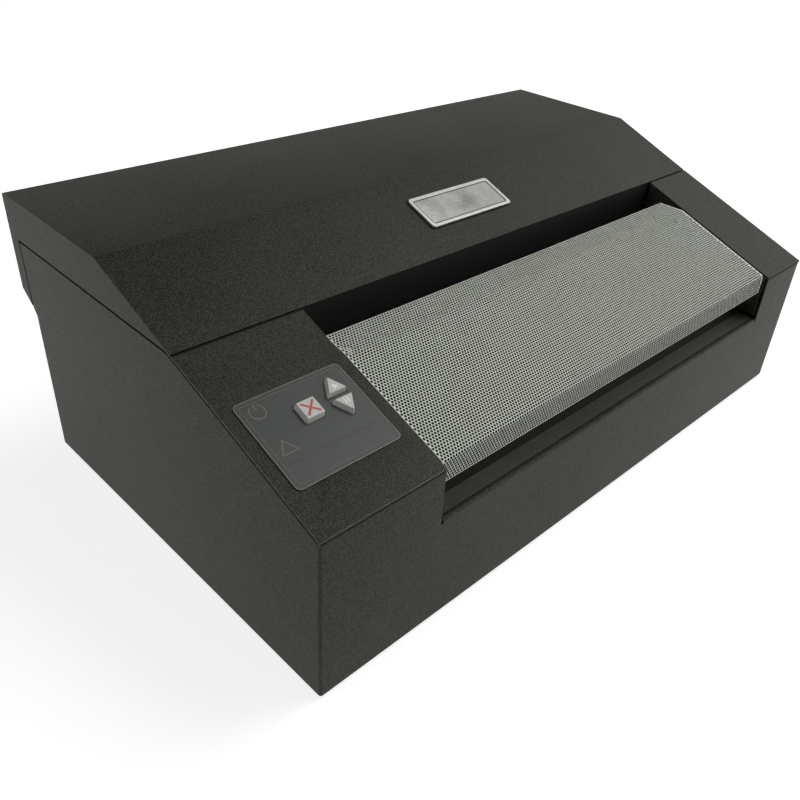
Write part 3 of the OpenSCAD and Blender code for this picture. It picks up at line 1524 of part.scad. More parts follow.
base_wrap();
base_pan();
rear_panel();
left_deck();
right_deck();
control_overlay();
keypad_board();
left_side_plate();
right_side_plate();
front_guide_rod();
rear_guide_rod();
die_bar();
inlet_ramp();
exit_guide();
support_rod();
feed_bushes();
feed_motor();
carriage_motor();
idler_bracket();
drive_belt();
power_supply();
main_board();
power_inlet();
data_sockets();
switch_frame();
hinge_brackets();
hinge_pins();
feet();
rear_screws();
lid_bumpers();
paper_sensor();
lid();
badge_plate();
lid_hinge_leaves();
paper_guide();
stop_button();
start_button();
pause_button();
emboss_carriage();
carriage_bushes();
emboss_head();
punches();
belt_clamp();
motor_pulley();
idler_pulley();
feed_shaft();
feed_gear();
feed_pinion();
left_tractor();
left_pin_belt();
left_sprocket();
left_gate();
left_lock_lever();
right_tractor();
right_pin_belt();
right_sprocket();
right_gate();
right_lock_lever();
power_rocker();
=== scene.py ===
import json
import math

import bmesh
import bpy
import numpy as np
from mathutils import Matrix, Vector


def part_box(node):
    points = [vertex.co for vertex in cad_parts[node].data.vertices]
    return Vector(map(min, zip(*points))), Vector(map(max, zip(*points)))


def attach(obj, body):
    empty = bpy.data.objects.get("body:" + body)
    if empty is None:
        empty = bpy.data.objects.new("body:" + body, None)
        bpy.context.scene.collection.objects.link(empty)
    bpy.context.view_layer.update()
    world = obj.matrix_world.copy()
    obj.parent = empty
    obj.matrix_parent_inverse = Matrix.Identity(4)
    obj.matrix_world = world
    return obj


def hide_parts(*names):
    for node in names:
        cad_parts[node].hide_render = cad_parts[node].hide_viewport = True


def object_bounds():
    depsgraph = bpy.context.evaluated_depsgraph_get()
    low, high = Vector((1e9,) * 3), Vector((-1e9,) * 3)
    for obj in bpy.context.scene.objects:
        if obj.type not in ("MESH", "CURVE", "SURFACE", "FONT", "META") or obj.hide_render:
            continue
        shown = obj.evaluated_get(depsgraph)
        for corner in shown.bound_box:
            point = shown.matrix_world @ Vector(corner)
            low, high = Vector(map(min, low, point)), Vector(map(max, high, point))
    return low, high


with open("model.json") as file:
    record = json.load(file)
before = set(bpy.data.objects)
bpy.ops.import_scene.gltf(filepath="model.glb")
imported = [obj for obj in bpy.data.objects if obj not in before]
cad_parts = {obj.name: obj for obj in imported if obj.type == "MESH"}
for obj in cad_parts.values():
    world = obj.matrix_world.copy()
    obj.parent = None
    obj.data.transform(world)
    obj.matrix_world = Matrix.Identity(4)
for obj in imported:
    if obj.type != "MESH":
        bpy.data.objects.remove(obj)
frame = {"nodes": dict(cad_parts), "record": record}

cad_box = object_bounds()
MM = 0.001
ROOT3 = math.sqrt(3)

# Cabinet, in millimetres: x from the left side, y from the front wall, z from the walls' lower edge
low, high = cad_box
BODY_W, BODY_D = (round((high[axis] - low[axis]) / MM, 2) for axis in (0, 1))
FOOT_H = round(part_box("base_wrap")[0].z / MM, 2)
FRONT_H, DECK_RUN, SHEET = 122.0, 132.5, 1.5
DECK_PITCH, LID_PITCH = math.radians(20.5), math.radians(21.6)
LEFT_STRIP, RIGHT_STRIP = 94.0, 62.5
OPENING_R = BODY_W - RIGHT_STRIP

# Perforated guide: its ends, its side view, the corner cut off at the back right, and its pins
GUIDE_L, GUIDE_R, GUIDE_T = LEFT_STRIP + 1.2, OPENING_R - 3.0, 0.6
GUIDE_FRONT, GUIDE_FOLD, GUIDE_REAR = 4.3, 91.0, 110.0
LIP_H, GUIDE_BEND_R, GUIDE_REAR_PITCH = 16.0, 1.5, math.radians(14.0)
GUIDE_CUT_X, GUIDE_CUT_Y = 10.5, 17.0
GUIDE_PIN_Y, GUIDE_PIN_DROP, GUIDE_PIN_R, GUIDE_TAB_R = GUIDE_FOLD - 1.0, 7.5, 2.0, 5.0

# Its holes: their spacing, their radius on the slope, behind the fold and on the lip, and where these end
HOLE_PITCH, HOLE_R, REAR_HOLE_R, LIP_HOLE_R = 2.38, 1.03, 1.06, 1.12
REAR_ROWS_Y, LIP_ROWS_V = GUIDE_FOLD - 4.0, LIP_H - 1.0
HOLE_ROOM = 1.25 * HOLE_R
GUIDE_BANDS = 3

# Button panel, in x across and s up the deck, and the buttons
OVERLAY_X, OVERLAY_S, OVERLAY_W, OVERLAY_H, OVERLAY_R = 47.2, 62.3, 76.5, 64.0, 3.5
OVERLAY_TOP, INK_T = 0.8, 0.06
STOP_S, STOP_W, STOP_FOOT = OVERLAY_S + 9.0, 14.0, 1.2
ARROW_X, ARROW_S, ARROW_W, ARROW_GAP, ARROW_FOOT = OVERLAY_X + 22.5, OVERLAY_S + 9.4, 15.8, 3.3, 0.7
ARROW_IN = ARROW_W / math.sqrt(12)
START_S, PAUSE_S = ARROW_S + ARROW_GAP / 2 + ARROW_IN, ARROW_S - ARROW_GAP / 2 - ARROW_IN

# A button's side view, as heights over the deck, what its top draws in, the lengths cut off its corners, and
# the width of its edges with a painted highlight and the turn in degrees that makes them
KEY_FOOT_Z, KEY_NECK_Z, KEY_EDGE_Z, KEY_H, KEY_TAPER = -SHEET - 3.2, -SHEET - 0.3, 1.3, 4.6, 1.0
FOOT_CLIP, SIDE_CLIP, TOP_CLIP = 1.6, 1.2, 0.3
KEY_HIGHLIGHT_W, KEY_SHARP = 0.22, 25.0

# Badge on the lid: its middle up the slope, its outline, the width of its rim and the height of its face
BADGE_S, BADGE_W, BADGE_H, BADGE_RIM, BADGE_FACE = 43.0, 91.0, 33.0, 3.0, 1.6


def deck_z(y):
    """Height of the deck: the front wall's height plus y times the tangent of the slope."""
    return FRONT_H + y * math.tan(DECK_PITCH)


def seat(x, y, z):
    """Machine millimetres to the part's frame in metres: minus half the width and depth, plus the feet."""
    return np.stack(np.broadcast_arrays((x - BODY_W / 2) * MM, (y - BODY_D / 2) * MM, (z + FOOT_H) * MM), -1)


def on_slope(x, s, h, pitch, start):
    """A point x across a slope that begins at y = start on the deck, s up it and h out of it: the slope's
    direction times s plus its normal times h."""
    c, n = math.cos(pitch), math.sin(pitch)
    return seat(x, start + s * c - h * n, deck_z(start) + s * n + h * c)


def on_deck(x, s, h):
    """A point on the deck's slope, from its front edge."""
    return on_slope(x, s, h, DECK_PITCH, 0.0)


def on_lid(x, s, h):
    """A point on the slope of the lid's front, from its front edge at the deck's end."""
    return on_slope(x, s, h, LID_PITCH, DECK_RUN)


def arc(x, y, r, start, end, n):
    """Part of a circle: the centre plus r times the cosine and sine of n even angles, in degrees."""
    a = np.radians(np.linspace(start, end, n))
    return np.stack([x + r * np.cos(a), y + r * np.sin(a)], 1)


# Bodies and pieces

BODY_OF = {node: body for body, nodes in frame["record"]["behaviour"]["bodies"].items() for node in nodes}
SLOT_OF = {part["node"]: part["material_slot"] for part in frame["record"]["subparts"]}


def new_piece(name, verts, faces, body, material):
    """Puts arrays of points (metres) and faces into an object at the origin that rides on a body."""
    mesh = bpy.data.meshes.new(name)
    mesh.from_pydata(np.asarray(verts).tolist(), [], [list(map(int, face)) for face in faces])
    mesh.validate()
    mesh.materials.append(material)
    obj = bpy.data.objects.new(name, mesh)
    bpy.context.scene.collection.objects.link(obj)
    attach(obj, body)
    return obj


def lofted(name, loops, body, material):
    """A closed piece through loops of as many points each: quads join every loop to the next, point by
    point, and a flat face closes the first loop and the last."""
    n = len(loops[0])
    i = np.arange(n)
    j = np.roll(i, -1)
    k = n * np.arange(len(loops) - 1)[:, None]
    sides = np.stack([k + i, k + j, k + n + j, k + n + i], -1).reshape(-1, 4)
    faces = [i[::-1], i + n * (len(loops) - 1), *sides]
    return new_piece(name, np.concatenate(loops), faces, body, material)


def break_edges(obj, width, angle, material=-1, miter="MITER_SHARP"):
    """A Bevel of two segments, its width in millimetres, on the edges that turn by more than the angle in
    degrees."""
    mod = obj.modifiers.new("broken edges", "BEVEL")
    mod.width = width * MM
    mod.segments = 2
    mod.limit_method = "ANGLE"
    mod.angle_limit = math.radians(angle)
    mod.miter_outer = miter
    mod.material = material


def dressed(node, material, bevel, highlight_finish, marked):
    """A copy of a CAD node that stands for it: points merged, flat faces joined, round faces shaded smooth
    and, where bevel isn't 0, sharp edges broken by so many millimetres, in a paler finish that paints a
    highlight on them where there is one. marked is a test on a face's middle, in machine millimetres, and its
    normal, with the finish of the faces that pass it, which paints shade or light on those faces."""
    sharp, flat, same_point = 32.0, 0.4, 1e-6
    mesh = frame["nodes"][node].data.copy()
    mesh.name = node + "_skin"
    mesh.materials.clear()
    bm = bmesh.new()
    bm.from_mesh(mesh)
    bmesh.ops.remove_doubles(bm, verts=bm.verts, dist=same_point)
    bmesh.ops.dissolve_limit(bm, angle_limit=math.radians(flat), verts=bm.verts, edges=bm.edges)
    bm.normal_update()
    for face in bm.faces:
        x, y, z = face.calc_center_median() / MM
        middle = (x + BODY_W / 2, y + BODY_D / 2, z - FOOT_H)
        face.material_index = 2 if marked and marked[0](middle, face.normal) else 0
    bm.to_mesh(mesh)
    bm.free()
    mesh.shade_smooth()
    mesh.set_sharp_from_angle(angle=math.radians(sharp))
    for skin in (material, highlight_finish or material, marked[1] if marked else material):
        mesh.materials.append(skin)
    obj = bpy.data.objects.new(node + "_skin", mesh)
    bpy.context.scene.collection.objects.link(obj)
    if bevel:
        break_edges(obj, bevel, sharp, 1 if highlight_finish else -1, "MITER_ARC")
    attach(obj, BODY_OF[node])
    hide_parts(node)


# Finishes

def math_node(tree, operation, *sources):
    """Result of a new Math node whose inputs are sockets or numbers."""
    node = tree.nodes.new("ShaderNodeMath")
    node.operation = operation
    for socket, source in zip(node.inputs, sources):
        if isinstance(source, (int, float)):
            socket.default_value = source
        else:
            tree.links.new(source, socket)
    return node.outputs[0]


def noise(tree, vector, scale, detail, rough):
    """Result of a new Noise Texture on a vector."""
    node = tree.nodes.new("ShaderNodeTexNoise")
    node.inputs["Scale"].default_value = scale
    node.inputs["Detail"].default_value = detail
    node.inputs["Roughness"].default_value = rough
    tree.links.new(vector, node.inputs["Vector"])
    return node.outputs["Fac"]


def finish(name, color, rough, metal=0.0, grain=900.0, stretch=(1, 1, 1), tint=0.12, rough_var=0.08,
           depth=0.03, bump=0.3, specular=0.5, coat=0.0, sheen_tint=(1, 1, 1), patch=9.0, cloud=0.4,
           span=0.2):
    """Principled finish on Object coordinates. Two noises, a fine one of the given grain per metre and a
    broad one of patch per metre, which has the share cloud, move the colour by tint and the roughness by
    rough_var. The fine one is also the bump, depth millimetres deep. sheen_tint colours the gloss, and a
    small span makes the speckle crisp."""
    fine_detail, fine_rough, broad_detail, broad_rough = 3.0, 0.6, 4.0, 0.5
    speckle_low, speckle_middle, speckle_high, coat_rough = 0.3, 0.5, 0.7, 0.2
    mat = bpy.data.materials.new(name)
    mat.use_nodes = True
    tree = mat.node_tree
    shader = tree.nodes["Principled BSDF"]
    shader.inputs["Metallic"].default_value = metal
    shader.inputs["Specular IOR Level"].default_value = specular
    shader.inputs["Specular Tint"].default_value = (*sheen_tint, 1)
    shader.inputs["Coat Weight"].default_value = coat
    shader.inputs["Coat Roughness"].default_value = coat_rough

    place = tree.nodes.new("ShaderNodeTexCoord").outputs["Object"]
    mapping = tree.nodes.new("ShaderNodeMapping")
    mapping.inputs["Scale"].default_value = stretch
    tree.links.new(place, mapping.inputs["Vector"])
    fine = noise(tree, mapping.outputs["Vector"], grain, fine_detail, fine_rough)
    broad = noise(tree, place, patch, broad_detail, broad_rough)
    speckle = math_node(tree, "MULTIPLY_ADD", fine, 1 - cloud, math_node(tree, "MULTIPLY", broad, cloud))

    ramp = tree.nodes.new("ShaderNodeValToRGB")
    for stop, sign in zip(ramp.color_ramp.elements, (-1, 1)):
        stop.position = speckle_middle + sign * span
        stop.color = (*[min(1.0, c * (1 + sign * tint)) for c in color], 1)
    tree.links.new(speckle, ramp.inputs["Fac"])
    tree.links.new(ramp.outputs["Color"], shader.inputs["Base Color"])

    gloss = tree.nodes.new("ShaderNodeMapRange")
    gloss.inputs["From Min"].default_value = speckle_low
    gloss.inputs["From Max"].default_value = speckle_high
    gloss.inputs["To Min"].default_value = rough - rough_var
    gloss.inputs["To Max"].default_value = rough + rough_var
    tree.links.new(speckle, gloss.inputs["Value"])
    tree.links.new(gloss.outputs["Result"], shader.inputs["Roughness"])

    relief = tree.nodes.new("ShaderNodeBump")
    relief.inputs["Strength"].default_value = bump
    relief.inputs["Distance"].default_value = depth * MM
    tree.links.new(fine, relief.inputs["Height"])
    tree.links.new(relief.outputs["Normal"], shader.inputs["Normal"])
    return mat


powder_coat = finish("charcoal powder coat", (0.0290, 0.0288, 0.0218), 0.5, grain=1100, tint=0.78,
                     rough_var=0.02, depth=0.1, bump=0.5, specular=0.16, sheen_tint=(1.0, 1.0, 0.85),
                     cloud=0.12, span=0.07)
# Painted highlight: a pale copy of the powder coat for the broken edges of the lid and the decks.
edge_highlight_coat = finish("powder coat with a painted edge highlight", (0.420, 0.420, 0.370), 0.36, grain=700, tint=0.4,
                     rough_var=0.12, depth=0.06, bump=0.4, sheen_tint=(1.0, 1.0, 0.82))
# Painted shade: a near black copy of the powder coat for the decks' cut edges, the lid's front hem and apron,
# and dark lines in gaps.
painted_shade = finish("painted shade on edges and gaps", (0.0036, 0.0036, 0.0033), 0.65, grain=1100, tint=0.5,
                     depth=0.05, specular=0.18)
# Painted shade: a darker copy of the powder coat for the inlet ramp below the guide.
ramp_shade_coat = finish("painted shade on the ramp below the guide", (0.0115, 0.0115, 0.0100), 0.6, grain=1100, tint=0.5,
                  depth=0.05, specular=0.18)
# Painted light: a lighter copy of the powder coat for the ramp's level front.
ramp_light_coat = finish("painted light on the ramp's level front", (0.054, 0.054, 0.045), 0.5, grain=1100, tint=0.5, depth=0.08,
                   bump=0.4, specular=0.3, cloud=0.15, span=0.1)
black_steel = finish("blackened steel", (0.012, 0.012, 0.013), 0.45, tint=0.3, depth=0.01, bump=0.15,
                     specular=0.35)
guide_paint = finish("grey satin guide paint", (0.728, 0.775, 0.674), 0.5, grain=1200, tint=0.06,
                     depth=0.02, bump=0.2, specular=0.4)
# Painted shade on the walls of the guide's holes: a lighter grey in the rear rows, near black in the others.
rear_hole_wall_shade = finish("lighter painted shade on the rear hole walls", (0.150, 0.155, 0.138), 0.6, grain=1500, tint=0.2,
                      depth=0.02, bump=0.2, specular=0.2)
hole_wall_shade = finish("painted shade on the hole walls", (0.014, 0.014, 0.013), 0.6, grain=1500, tint=0.2, depth=0.02,
                  bump=0.2, specular=0.2)
zinc_plate = finish("zinc plated sheet", (0.56, 0.57, 0.58), 0.38, metal=1.0, grain=260, tint=0.14,
                    depth=0.02, bump=0.15)
ground_bar = finish("ground steel bar", (0.62, 0.63, 0.64), 0.24, metal=1.0, stretch=(0.05, 1, 1), tint=0.1,
                    depth=0.01, bump=0.15)
black_moulding = finish("black moulding", (0.012, 0.012, 0.012), 0.5, grain=1600, tint=0.15, depth=0.04)
black_rubber = finish("black rubber", (0.014, 0.014, 0.014), 0.75, grain=700, tint=0.2, depth=0.05,
                      specular=0.3)
grey_resin = finish("grey resin", (0.10, 0.105, 0.11), 0.42, grain=1300, tint=0.08, bump=0.25)
key_plastic = finish("light grey key plastic", (0.53, 0.542, 0.512), 0.42, grain=1300, bump=0.25, span=0.1)
# Painted highlight: a paler copy of the key plastic for the keys' broken edges.
key_edge_highlight = finish("key plastic with a painted edge highlight", (0.70, 0.71, 0.68), 0.35, grain=1300, tint=0.08,
                    depth=0.02, bump=0.2)
panel_film = finish("panel film", (0.0365, 0.0435, 0.0375), 0.46, grain=1150, tint=0.3, specular=0.38,
                    cloud=0.15, span=0.1)
solder_mask = finish("green solder mask", (0.012, 0.07, 0.03), 0.3, grain=300, tint=0.25, depth=0.02,
                     bump=0.2, coat=0.3)
badge_metal = finish("bright badge metal", (0.46, 0.465, 0.435), 0.36, metal=1.0, grain=500, depth=0.015,
                     bump=0.2)
# Broad patches of colour on the badge's face paint its mottled reflections.
badge_silver_reflections = finish("silver with painted mottled reflections", (0.345, 0.350, 0.328), 0.42, metal=0.35, grain=600,
                      tint=0.40, rough_var=0.1, depth=0.015, bump=0.2, patch=34.0, cloud=0.72, span=0.13)
sintered_brass = finish("sintered brass", (0.50, 0.36, 0.12), 0.42, metal=1.0, grain=1500, tint=0.15,
                        bump=0.2)
red_ink = finish("red ink", (0.52, 0.050, 0.045), 0.5, grain=1500, tint=0.08, depth=0.01, bump=0.1)
# Painted highlight: pale grey for a line along the panel film's edge.
edge_highlight_ink = finish("pale grey painted edge highlight", (0.21, 0.22, 0.195), 0.55, grain=1500, tint=0.08, depth=0.01, bump=0.1)
faint_ink = finish("faint ink", (0.165, 0.160, 0.122), 0.55, grain=1500, tint=0.08, depth=0.01, bump=0.1)
dark_ink = finish("dark ink", (0.022, 0.024, 0.024), 0.55, grain=1500, tint=0.1, depth=0.01, bump=0.1)
key_ink = finish("key sign ink", (0.88, 0.89, 0.87), 0.5, grain=1500, tint=0.05, depth=0.01, bump=0.1)

SLOT_FINISH = {
    "cabinet_paint": powder_coat, "perforated_paint": guide_paint, "plated_sheet": zinc_plate,
    "ground_steel": ground_bar, "black_plastic": black_moulding, "black_rubber": black_rubber,
    "grey_resin": grey_resin, "key_plastic": key_plastic, "overlay_film": panel_film,
    "circuit_board": solder_mask, "badge_plating": badge_metal, "bearing_brass": sintered_brass,
}


# The cabinet, the mechanism and the rest of the CAD nodes

# The least share of a normal along a direction with which a face counts as facing there
FACING, LEVEL = 0.9, 0.999


def outer_edge(middle, normal):
    """The cut edges of a deck panel: faces that lie in the cabinet's front or sides and face outwards."""
    x, y, _ = middle
    near = 0.1
    in_front = y < near and normal.y < -FACING
    return in_front or (abs(x - BODY_W / 2) > BODY_W / 2 - near and abs(normal.x) > FACING)


def front_hem(middle, normal):
    """The lid's front edge, with the apron that is folded down from it: faces close to it that face the
    front."""
    return normal.y < -FACING and abs(middle[1] - DECK_RUN) < 2 * SHEET


def flat_top(middle, normal):
    """The level front of the ramp, which takes painted light: faces whose normal is upright."""
    return normal.z > LEVEL


# Widths of broken edges in millimetres, and the nodes with a finish that isn't their slot's
EDGE = {"base_wrap": 0.35, "lid": 0.5, "left_deck": 0.5, "right_deck": 0.5, "rear_panel": 0.3,
        "badge_plate": 0.35, "control_overlay": 0.15, "feet": 0.4, "power_inlet": 0.3, "switch_frame": 0.25,
        "power_rocker": 0.3, "lid_hinge_leaves": 0.3, "hinge_brackets": 0.3, "emboss_carriage": 0.5,
        "left_gate": 0.3, "right_gate": 0.3, "left_tractor": 0.3, "right_tractor": 0.3,
        "left_lock_lever": 0.4, "right_lock_lever": 0.4}
# The broken edges of the lid and the decks take a painted highlight.
EDGE_HIGHLIGHT = {"lid": edge_highlight_coat, "left_deck": edge_highlight_coat, "right_deck": edge_highlight_coat}
# The inlet ramp takes the darker copy of the powder coat, painted shade below the guide.
OWN_FINISH = {"inlet_ramp": ramp_shade_coat, "support_rod": black_steel, "feed_shaft": black_steel}
# Faces picked out by a test take another finish: painted shade on the decks' cut edges and on the lid's front
# hem and apron.
MARKED = {"left_deck": (outer_edge, painted_shade), "right_deck": (outer_edge, painted_shade),
          "lid": (front_hem, painted_shade), "inlet_ramp": (flat_top, ramp_light_coat)}
OWN_PIECE = ("paper_guide", "stop_button", "start_button", "pause_button")


def dressed_nodes():
    """Every CAD node that has no piece of its own, in its finish."""
    for node in frame["nodes"]:
        if node not in OWN_PIECE:
            material = OWN_FINISH.get(node, SLOT_FINISH[SLOT_OF[node]])
            dressed(node, material, EDGE.get(node, 0.0), EDGE_HIGHLIGHT.get(node), MARKED.get(node))


# The perforated guide

def guide_profile():
    """Outer side view of the folded sheet: up the lip, round a bend, along the slope, over the fold and
    back, as points (y, z) close together, with their outward normals and the length run so far. The bend
    begins its radius times the tangent of half its turn below the corner of lip and slope."""
    bend_points, samples = 9, 500
    top_z = deck_z(GUIDE_FRONT)
    bend_z = top_z - GUIDE_BEND_R * math.tan((math.pi / 2 - DECK_PITCH) / 2)
    bend = arc(GUIDE_FRONT + GUIDE_BEND_R, bend_z, GUIDE_BEND_R, 180, 90 + math.degrees(DECK_PITCH),
               bend_points)
    end_z = deck_z(GUIDE_FOLD) + (GUIDE_REAR - GUIDE_FOLD) * math.tan(GUIDE_REAR_PITCH)
    corners = np.vstack([(GUIDE_FRONT, top_z - LIP_H), bend, (GUIDE_FOLD, deck_z(GUIDE_FOLD)),
                         (GUIDE_REAR, end_z)])
    steps = np.linalg.norm(np.diff(corners, axis=0), axis=1)
    at_corner = np.concatenate([[0], np.cumsum(steps)])
    run = np.unique(np.concatenate([np.linspace(0, at_corner[-1], samples), at_corner]))
    yz = np.stack([np.interp(run, at_corner, corners[:, axis]) for axis in (0, 1)], 1)
    way = np.gradient(yz, run, axis=0)
    way /= np.linalg.norm(way, axis=1, keepdims=True)
    return run, yz, np.stack([-way[:, 1], way[:, 0]], 1)


def guide_lattice(length, width):
    """Hexagonal cells that fill the unfolded sheet, u across it and v along its side view: cells one pitch
    apart in rows half the root of three of a pitch apart, odd rows moved on by half a pitch. The first and
    last rows end straight, and half cells close the odd rows at both ends. Gives the half pitch across and
    half a cell side along, the cells' rows, centres and corners, and the half cells' rows and corners at
    the left and right end."""
    cols = round(width / HOLE_PITCH)
    pitch_u = width / cols
    rows = round((length - 2 * HOLE_PITCH / ROOT3) / (HOLE_PITCH * ROOT3 / 2)) + 1
    pitch_v = length / ((rows - 1) * ROOT3 / 2 + 2 / ROOT3)
    half, side = pitch_u / 2, pitch_v / ROOT3

    row, col = np.meshgrid(np.arange(rows), np.arange(cols), indexing="ij")
    real = (row % 2 == 0) | (col < cols - 1)
    row, col = row[real], col[real]
    centre = np.stack([(2 * col + 1 + row % 2) * half, (1 + 1.5 * row) * side], 1)
    corner = arc(0, 0, 1 / ROOT3, 30, 330, 6) * (pitch_u, pitch_v)
    cell = centre[:, None] + corner
    cell[np.ix_(row == 0, [3, 5], [1])] = 0.0
    cell[np.ix_(row == rows - 1, [0, 2], [1])] = length

    end_row = np.arange(1, rows, 2)
    v = (1 + 1.5 * end_row) * side
    last = end_row == rows - 1
    upper, top = (np.where(last, length, v + rise) for rise in (side / 2, side))
    edge, inner = np.zeros(len(v)), np.full(len(v), half)
    left = np.array([[edge, v - side], [inner, v - side / 2], [inner, upper], [edge, top]]).transpose(2, 0, 1)
    right = (left * (-1, 1) + (width, 0))[:, ::-1]
    return (half, side / 2), row, centre, cell, end_row, left, right


def sheet_faces(six, four, hole, holed, n):
    """Faces of a sheet with an upper and a lower layer of n points each: first the six walls of every hole,
    then a wall along each edge that only one cell has, and then, in both layers, six quads from each hole
    to its cell's rim, and cells without a hole and half cells as they are."""
    rim = six[holed]
    next_rim, next_hole = np.roll(rim, -1, 1), np.roll(hole, -1, 1)
    walls = np.stack([hole, next_hole, next_hole + n, hole + n], -1).reshape(-1, 4)
    rings = np.stack([rim, next_rim, next_hole, hole], -1).reshape(-1, 4)
    edges = np.concatenate([np.stack([loop, np.roll(loop, -1, 1)], -1).reshape(-1, 2)
                            for loop in (six, four)])
    _, where, times = np.unique(np.sort(edges, 1) @ (n, 1), return_index=True, return_counts=True)
    a, b = edges[where[times == 1]].T
    faces = [*walls, *np.stack([b, a, a + n, b + n], -1)]
    for upper in (rings, six[~holed], four):
        faces += [*upper, *(upper[:, ::-1] + n)]
    return faces


def perforated_guide():
    """The guide as a sheet of hexagonal cells, each with a six sided hole, laid on the unfolded sheet and
    carried onto the profile: a point is profile(v) minus depth times the normal at v. It is made in bands
    of rows."""
    run, yz, normal = guide_profile()
    length, width = run[-1], GUIDE_R - GUIDE_L
    step, row, centre, cell, end_row, left, right = guide_lattice(length, width)
    ring = arc(0, 0, 1, 30, 330, 6)

    def right_edge(v):
        """The width less the corner's, in proportion to the way into the corner that is cut off."""
        y = np.interp(v, run, yz[:, 0])
        return width - GUIDE_CUT_X * np.clip((y - GUIDE_REAR + GUIDE_CUT_Y) / GUIDE_CUT_Y, 0, 1)

    row_codes = 10 ** 6

    def code(points):
        """One whole number for each corner, since all lie at whole steps across and along."""
        across, along = np.moveaxis(np.rint(points / step).astype(np.int64), -1, 0)
        return across * row_codes + along

    inside = centre[:, 0] < right_edge(centre[:, 1])
    holed = centre[:, 0] + HOLE_ROOM < right_edge(centre[:, 1])
    kept_end = right[:, :, 0].mean(1) < right_edge(right[:, :, 1].mean(1))
    cut_off = np.concatenate([code(cell[~inside]).ravel(), code(right[~kept_end]).ravel()])
    for number, band in enumerate(np.array_split(np.arange(row.max() + 1), GUIDE_BANDS), 1):
        cells, ends = inside & np.isin(row, band), np.isin(end_row, band)
        halves = np.concatenate([left[ends], right[ends & kept_end]])
        rims = np.concatenate([cell[cells].reshape(-1, 2), halves.reshape(-1, 2)])
        codes, first, index = np.unique(code(rims), return_index=True, return_inverse=True)
        corners = rims[first]
        on_cut = np.isin(codes, cut_off)
        corners[on_cut, 0] = right_edge(corners[on_cut, 1])
        six, four = np.split(index, [6 * cells.sum()])

        middle = centre[cells & holed]
        rear = np.interp(middle[:, 1], run, yz[:, 0]) > REAR_ROWS_Y
        radius = np.select([rear, middle[:, 1] < LIP_ROWS_V], [REAR_HOLE_R, LIP_HOLE_R], HOLE_R)
        holes = (middle[:, None] + radius[:, None, None] * ring).reshape(-1, 2)
        hole = len(corners) + np.arange(len(holes)).reshape(-1, 6)
        u, v = np.concatenate([corners, holes]).T
        faces = sheet_faces(six.reshape(-1, 6), four.reshape(-1, 4), hole, holed[cells], len(u))

        y, z = (np.interp(v, run, yz[:, axis]) for axis in (0, 1))
        out_y, out_z = (np.interp(v, run, normal[:, axis]) for axis in (0, 1))
        verts = np.concatenate([seat(GUIDE_L + u, y - depth * out_y, z - depth * out_z)
                                for depth in (0.0, GUIDE_T)])
        piece = new_piece(f"perforated_guide_{number}", verts, faces, "paper_guide", guide_paint)
        # The hole walls take painted shade, lighter grey in the rear rows and near black in the others.
        piece.data.materials.append(hole_wall_shade)
        piece.data.materials.append(rear_hole_wall_shade)
        skin = np.zeros(len(faces), dtype=np.int32)
        skin[:hole.size] = np.repeat(np.where(rear, 2, 1), 6)
        piece.data.polygons.foreach_set("material_index", skin)
        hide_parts("paper_guide")


def bar_along_x(name, outline, ends, body, material):
    """A closed side view (y, z), anticlockwise, carried straight along x from one end to the other."""
    y, z = outline.T
    return lofted(name, [seat(x, y, z) for x in ends], body, material)


def guide_pivots():
    """A tab and a pin at each end of the guide. The tab's side view is a half circle round the pin, closed
    along the middle of the sheet, and the pin's is a circle."""
    tab_points, pin_points = 17, 24
    pin_z = deck_z(GUIDE_PIN_Y) - GUIDE_PIN_DROP
    top_y = np.array([GUIDE_FOLD, GUIDE_PIN_Y - GUIDE_TAB_R])
    top = np.stack([top_y, deck_z(top_y) - 0.5 * GUIDE_T / math.cos(DECK_PITCH)], 1)
    tab = np.vstack([arc(GUIDE_PIN_Y, pin_z, GUIDE_TAB_R, 180, 360, tab_points), top])
    pin = arc(GUIDE_PIN_Y, pin_z, GUIDE_PIN_R, 0, 360 - 360 / pin_points, pin_points)
    tab_ends = {"left": (GUIDE_L, GUIDE_L + GUIDE_T), "right": (GUIDE_R - GUIDE_T, GUIDE_R)}
    pin_ends = {"left": (LEFT_STRIP - 2 * SHEET, GUIDE_L + GUIDE_T / 2),
                "right": (GUIDE_R - GUIDE_T / 2, OPENING_R + 2 * SHEET)}
    for side in ("left", "right"):
        for name, outline, ends in (("tab", tab, tab_ends), ("pin", pin, pin_ends)):
            bar_along_x(f"guide_{name}_{side}", outline, ends[side], "paper_guide", guide_paint)


# Key caps

def key_cap(node, x, s, corners, half, foot):
    """A cap that stands for a button: one outline at five heights, joined in turn and closed below and on
    top. Each corner is cut off along both its sides. Below the deck the outline is wider by foot, at the
    top it is narrower; half is the distance from its middle to its sides."""
    levels = ((KEY_FOOT_Z, -foot, FOOT_CLIP), (KEY_NECK_Z, -foot, FOOT_CLIP), (KEY_NECK_Z, 0.0, SIDE_CLIP),
              (KEY_EDGE_Z, 0.0, SIDE_CLIP), (KEY_H, KEY_TAPER, TOP_CLIP))
    loops = []
    for h, inset, clip in levels:
        c = corners * (1 - inset / half)
        before, after = np.roll(c, 1, 0) - c, np.roll(c, -1, 0) - c
        before /= np.linalg.norm(before, axis=1, keepdims=True)
        after /= np.linalg.norm(after, axis=1, keepdims=True)
        across, up = np.stack([c + clip * before, c + clip * after], 1).reshape(-1, 2).T
        loops.append(on_deck(x + across, s + up, h))
    cap = lofted(node + "_cap", loops, BODY_OF[node], key_plastic)
    # The broken edges take the paler copy of the key plastic, a painted highlight along the keys' edges.
    cap.data.materials.append(key_edge_highlight)
    break_edges(cap, KEY_HIGHLIGHT_W, KEY_SHARP, 1)
    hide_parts(node)


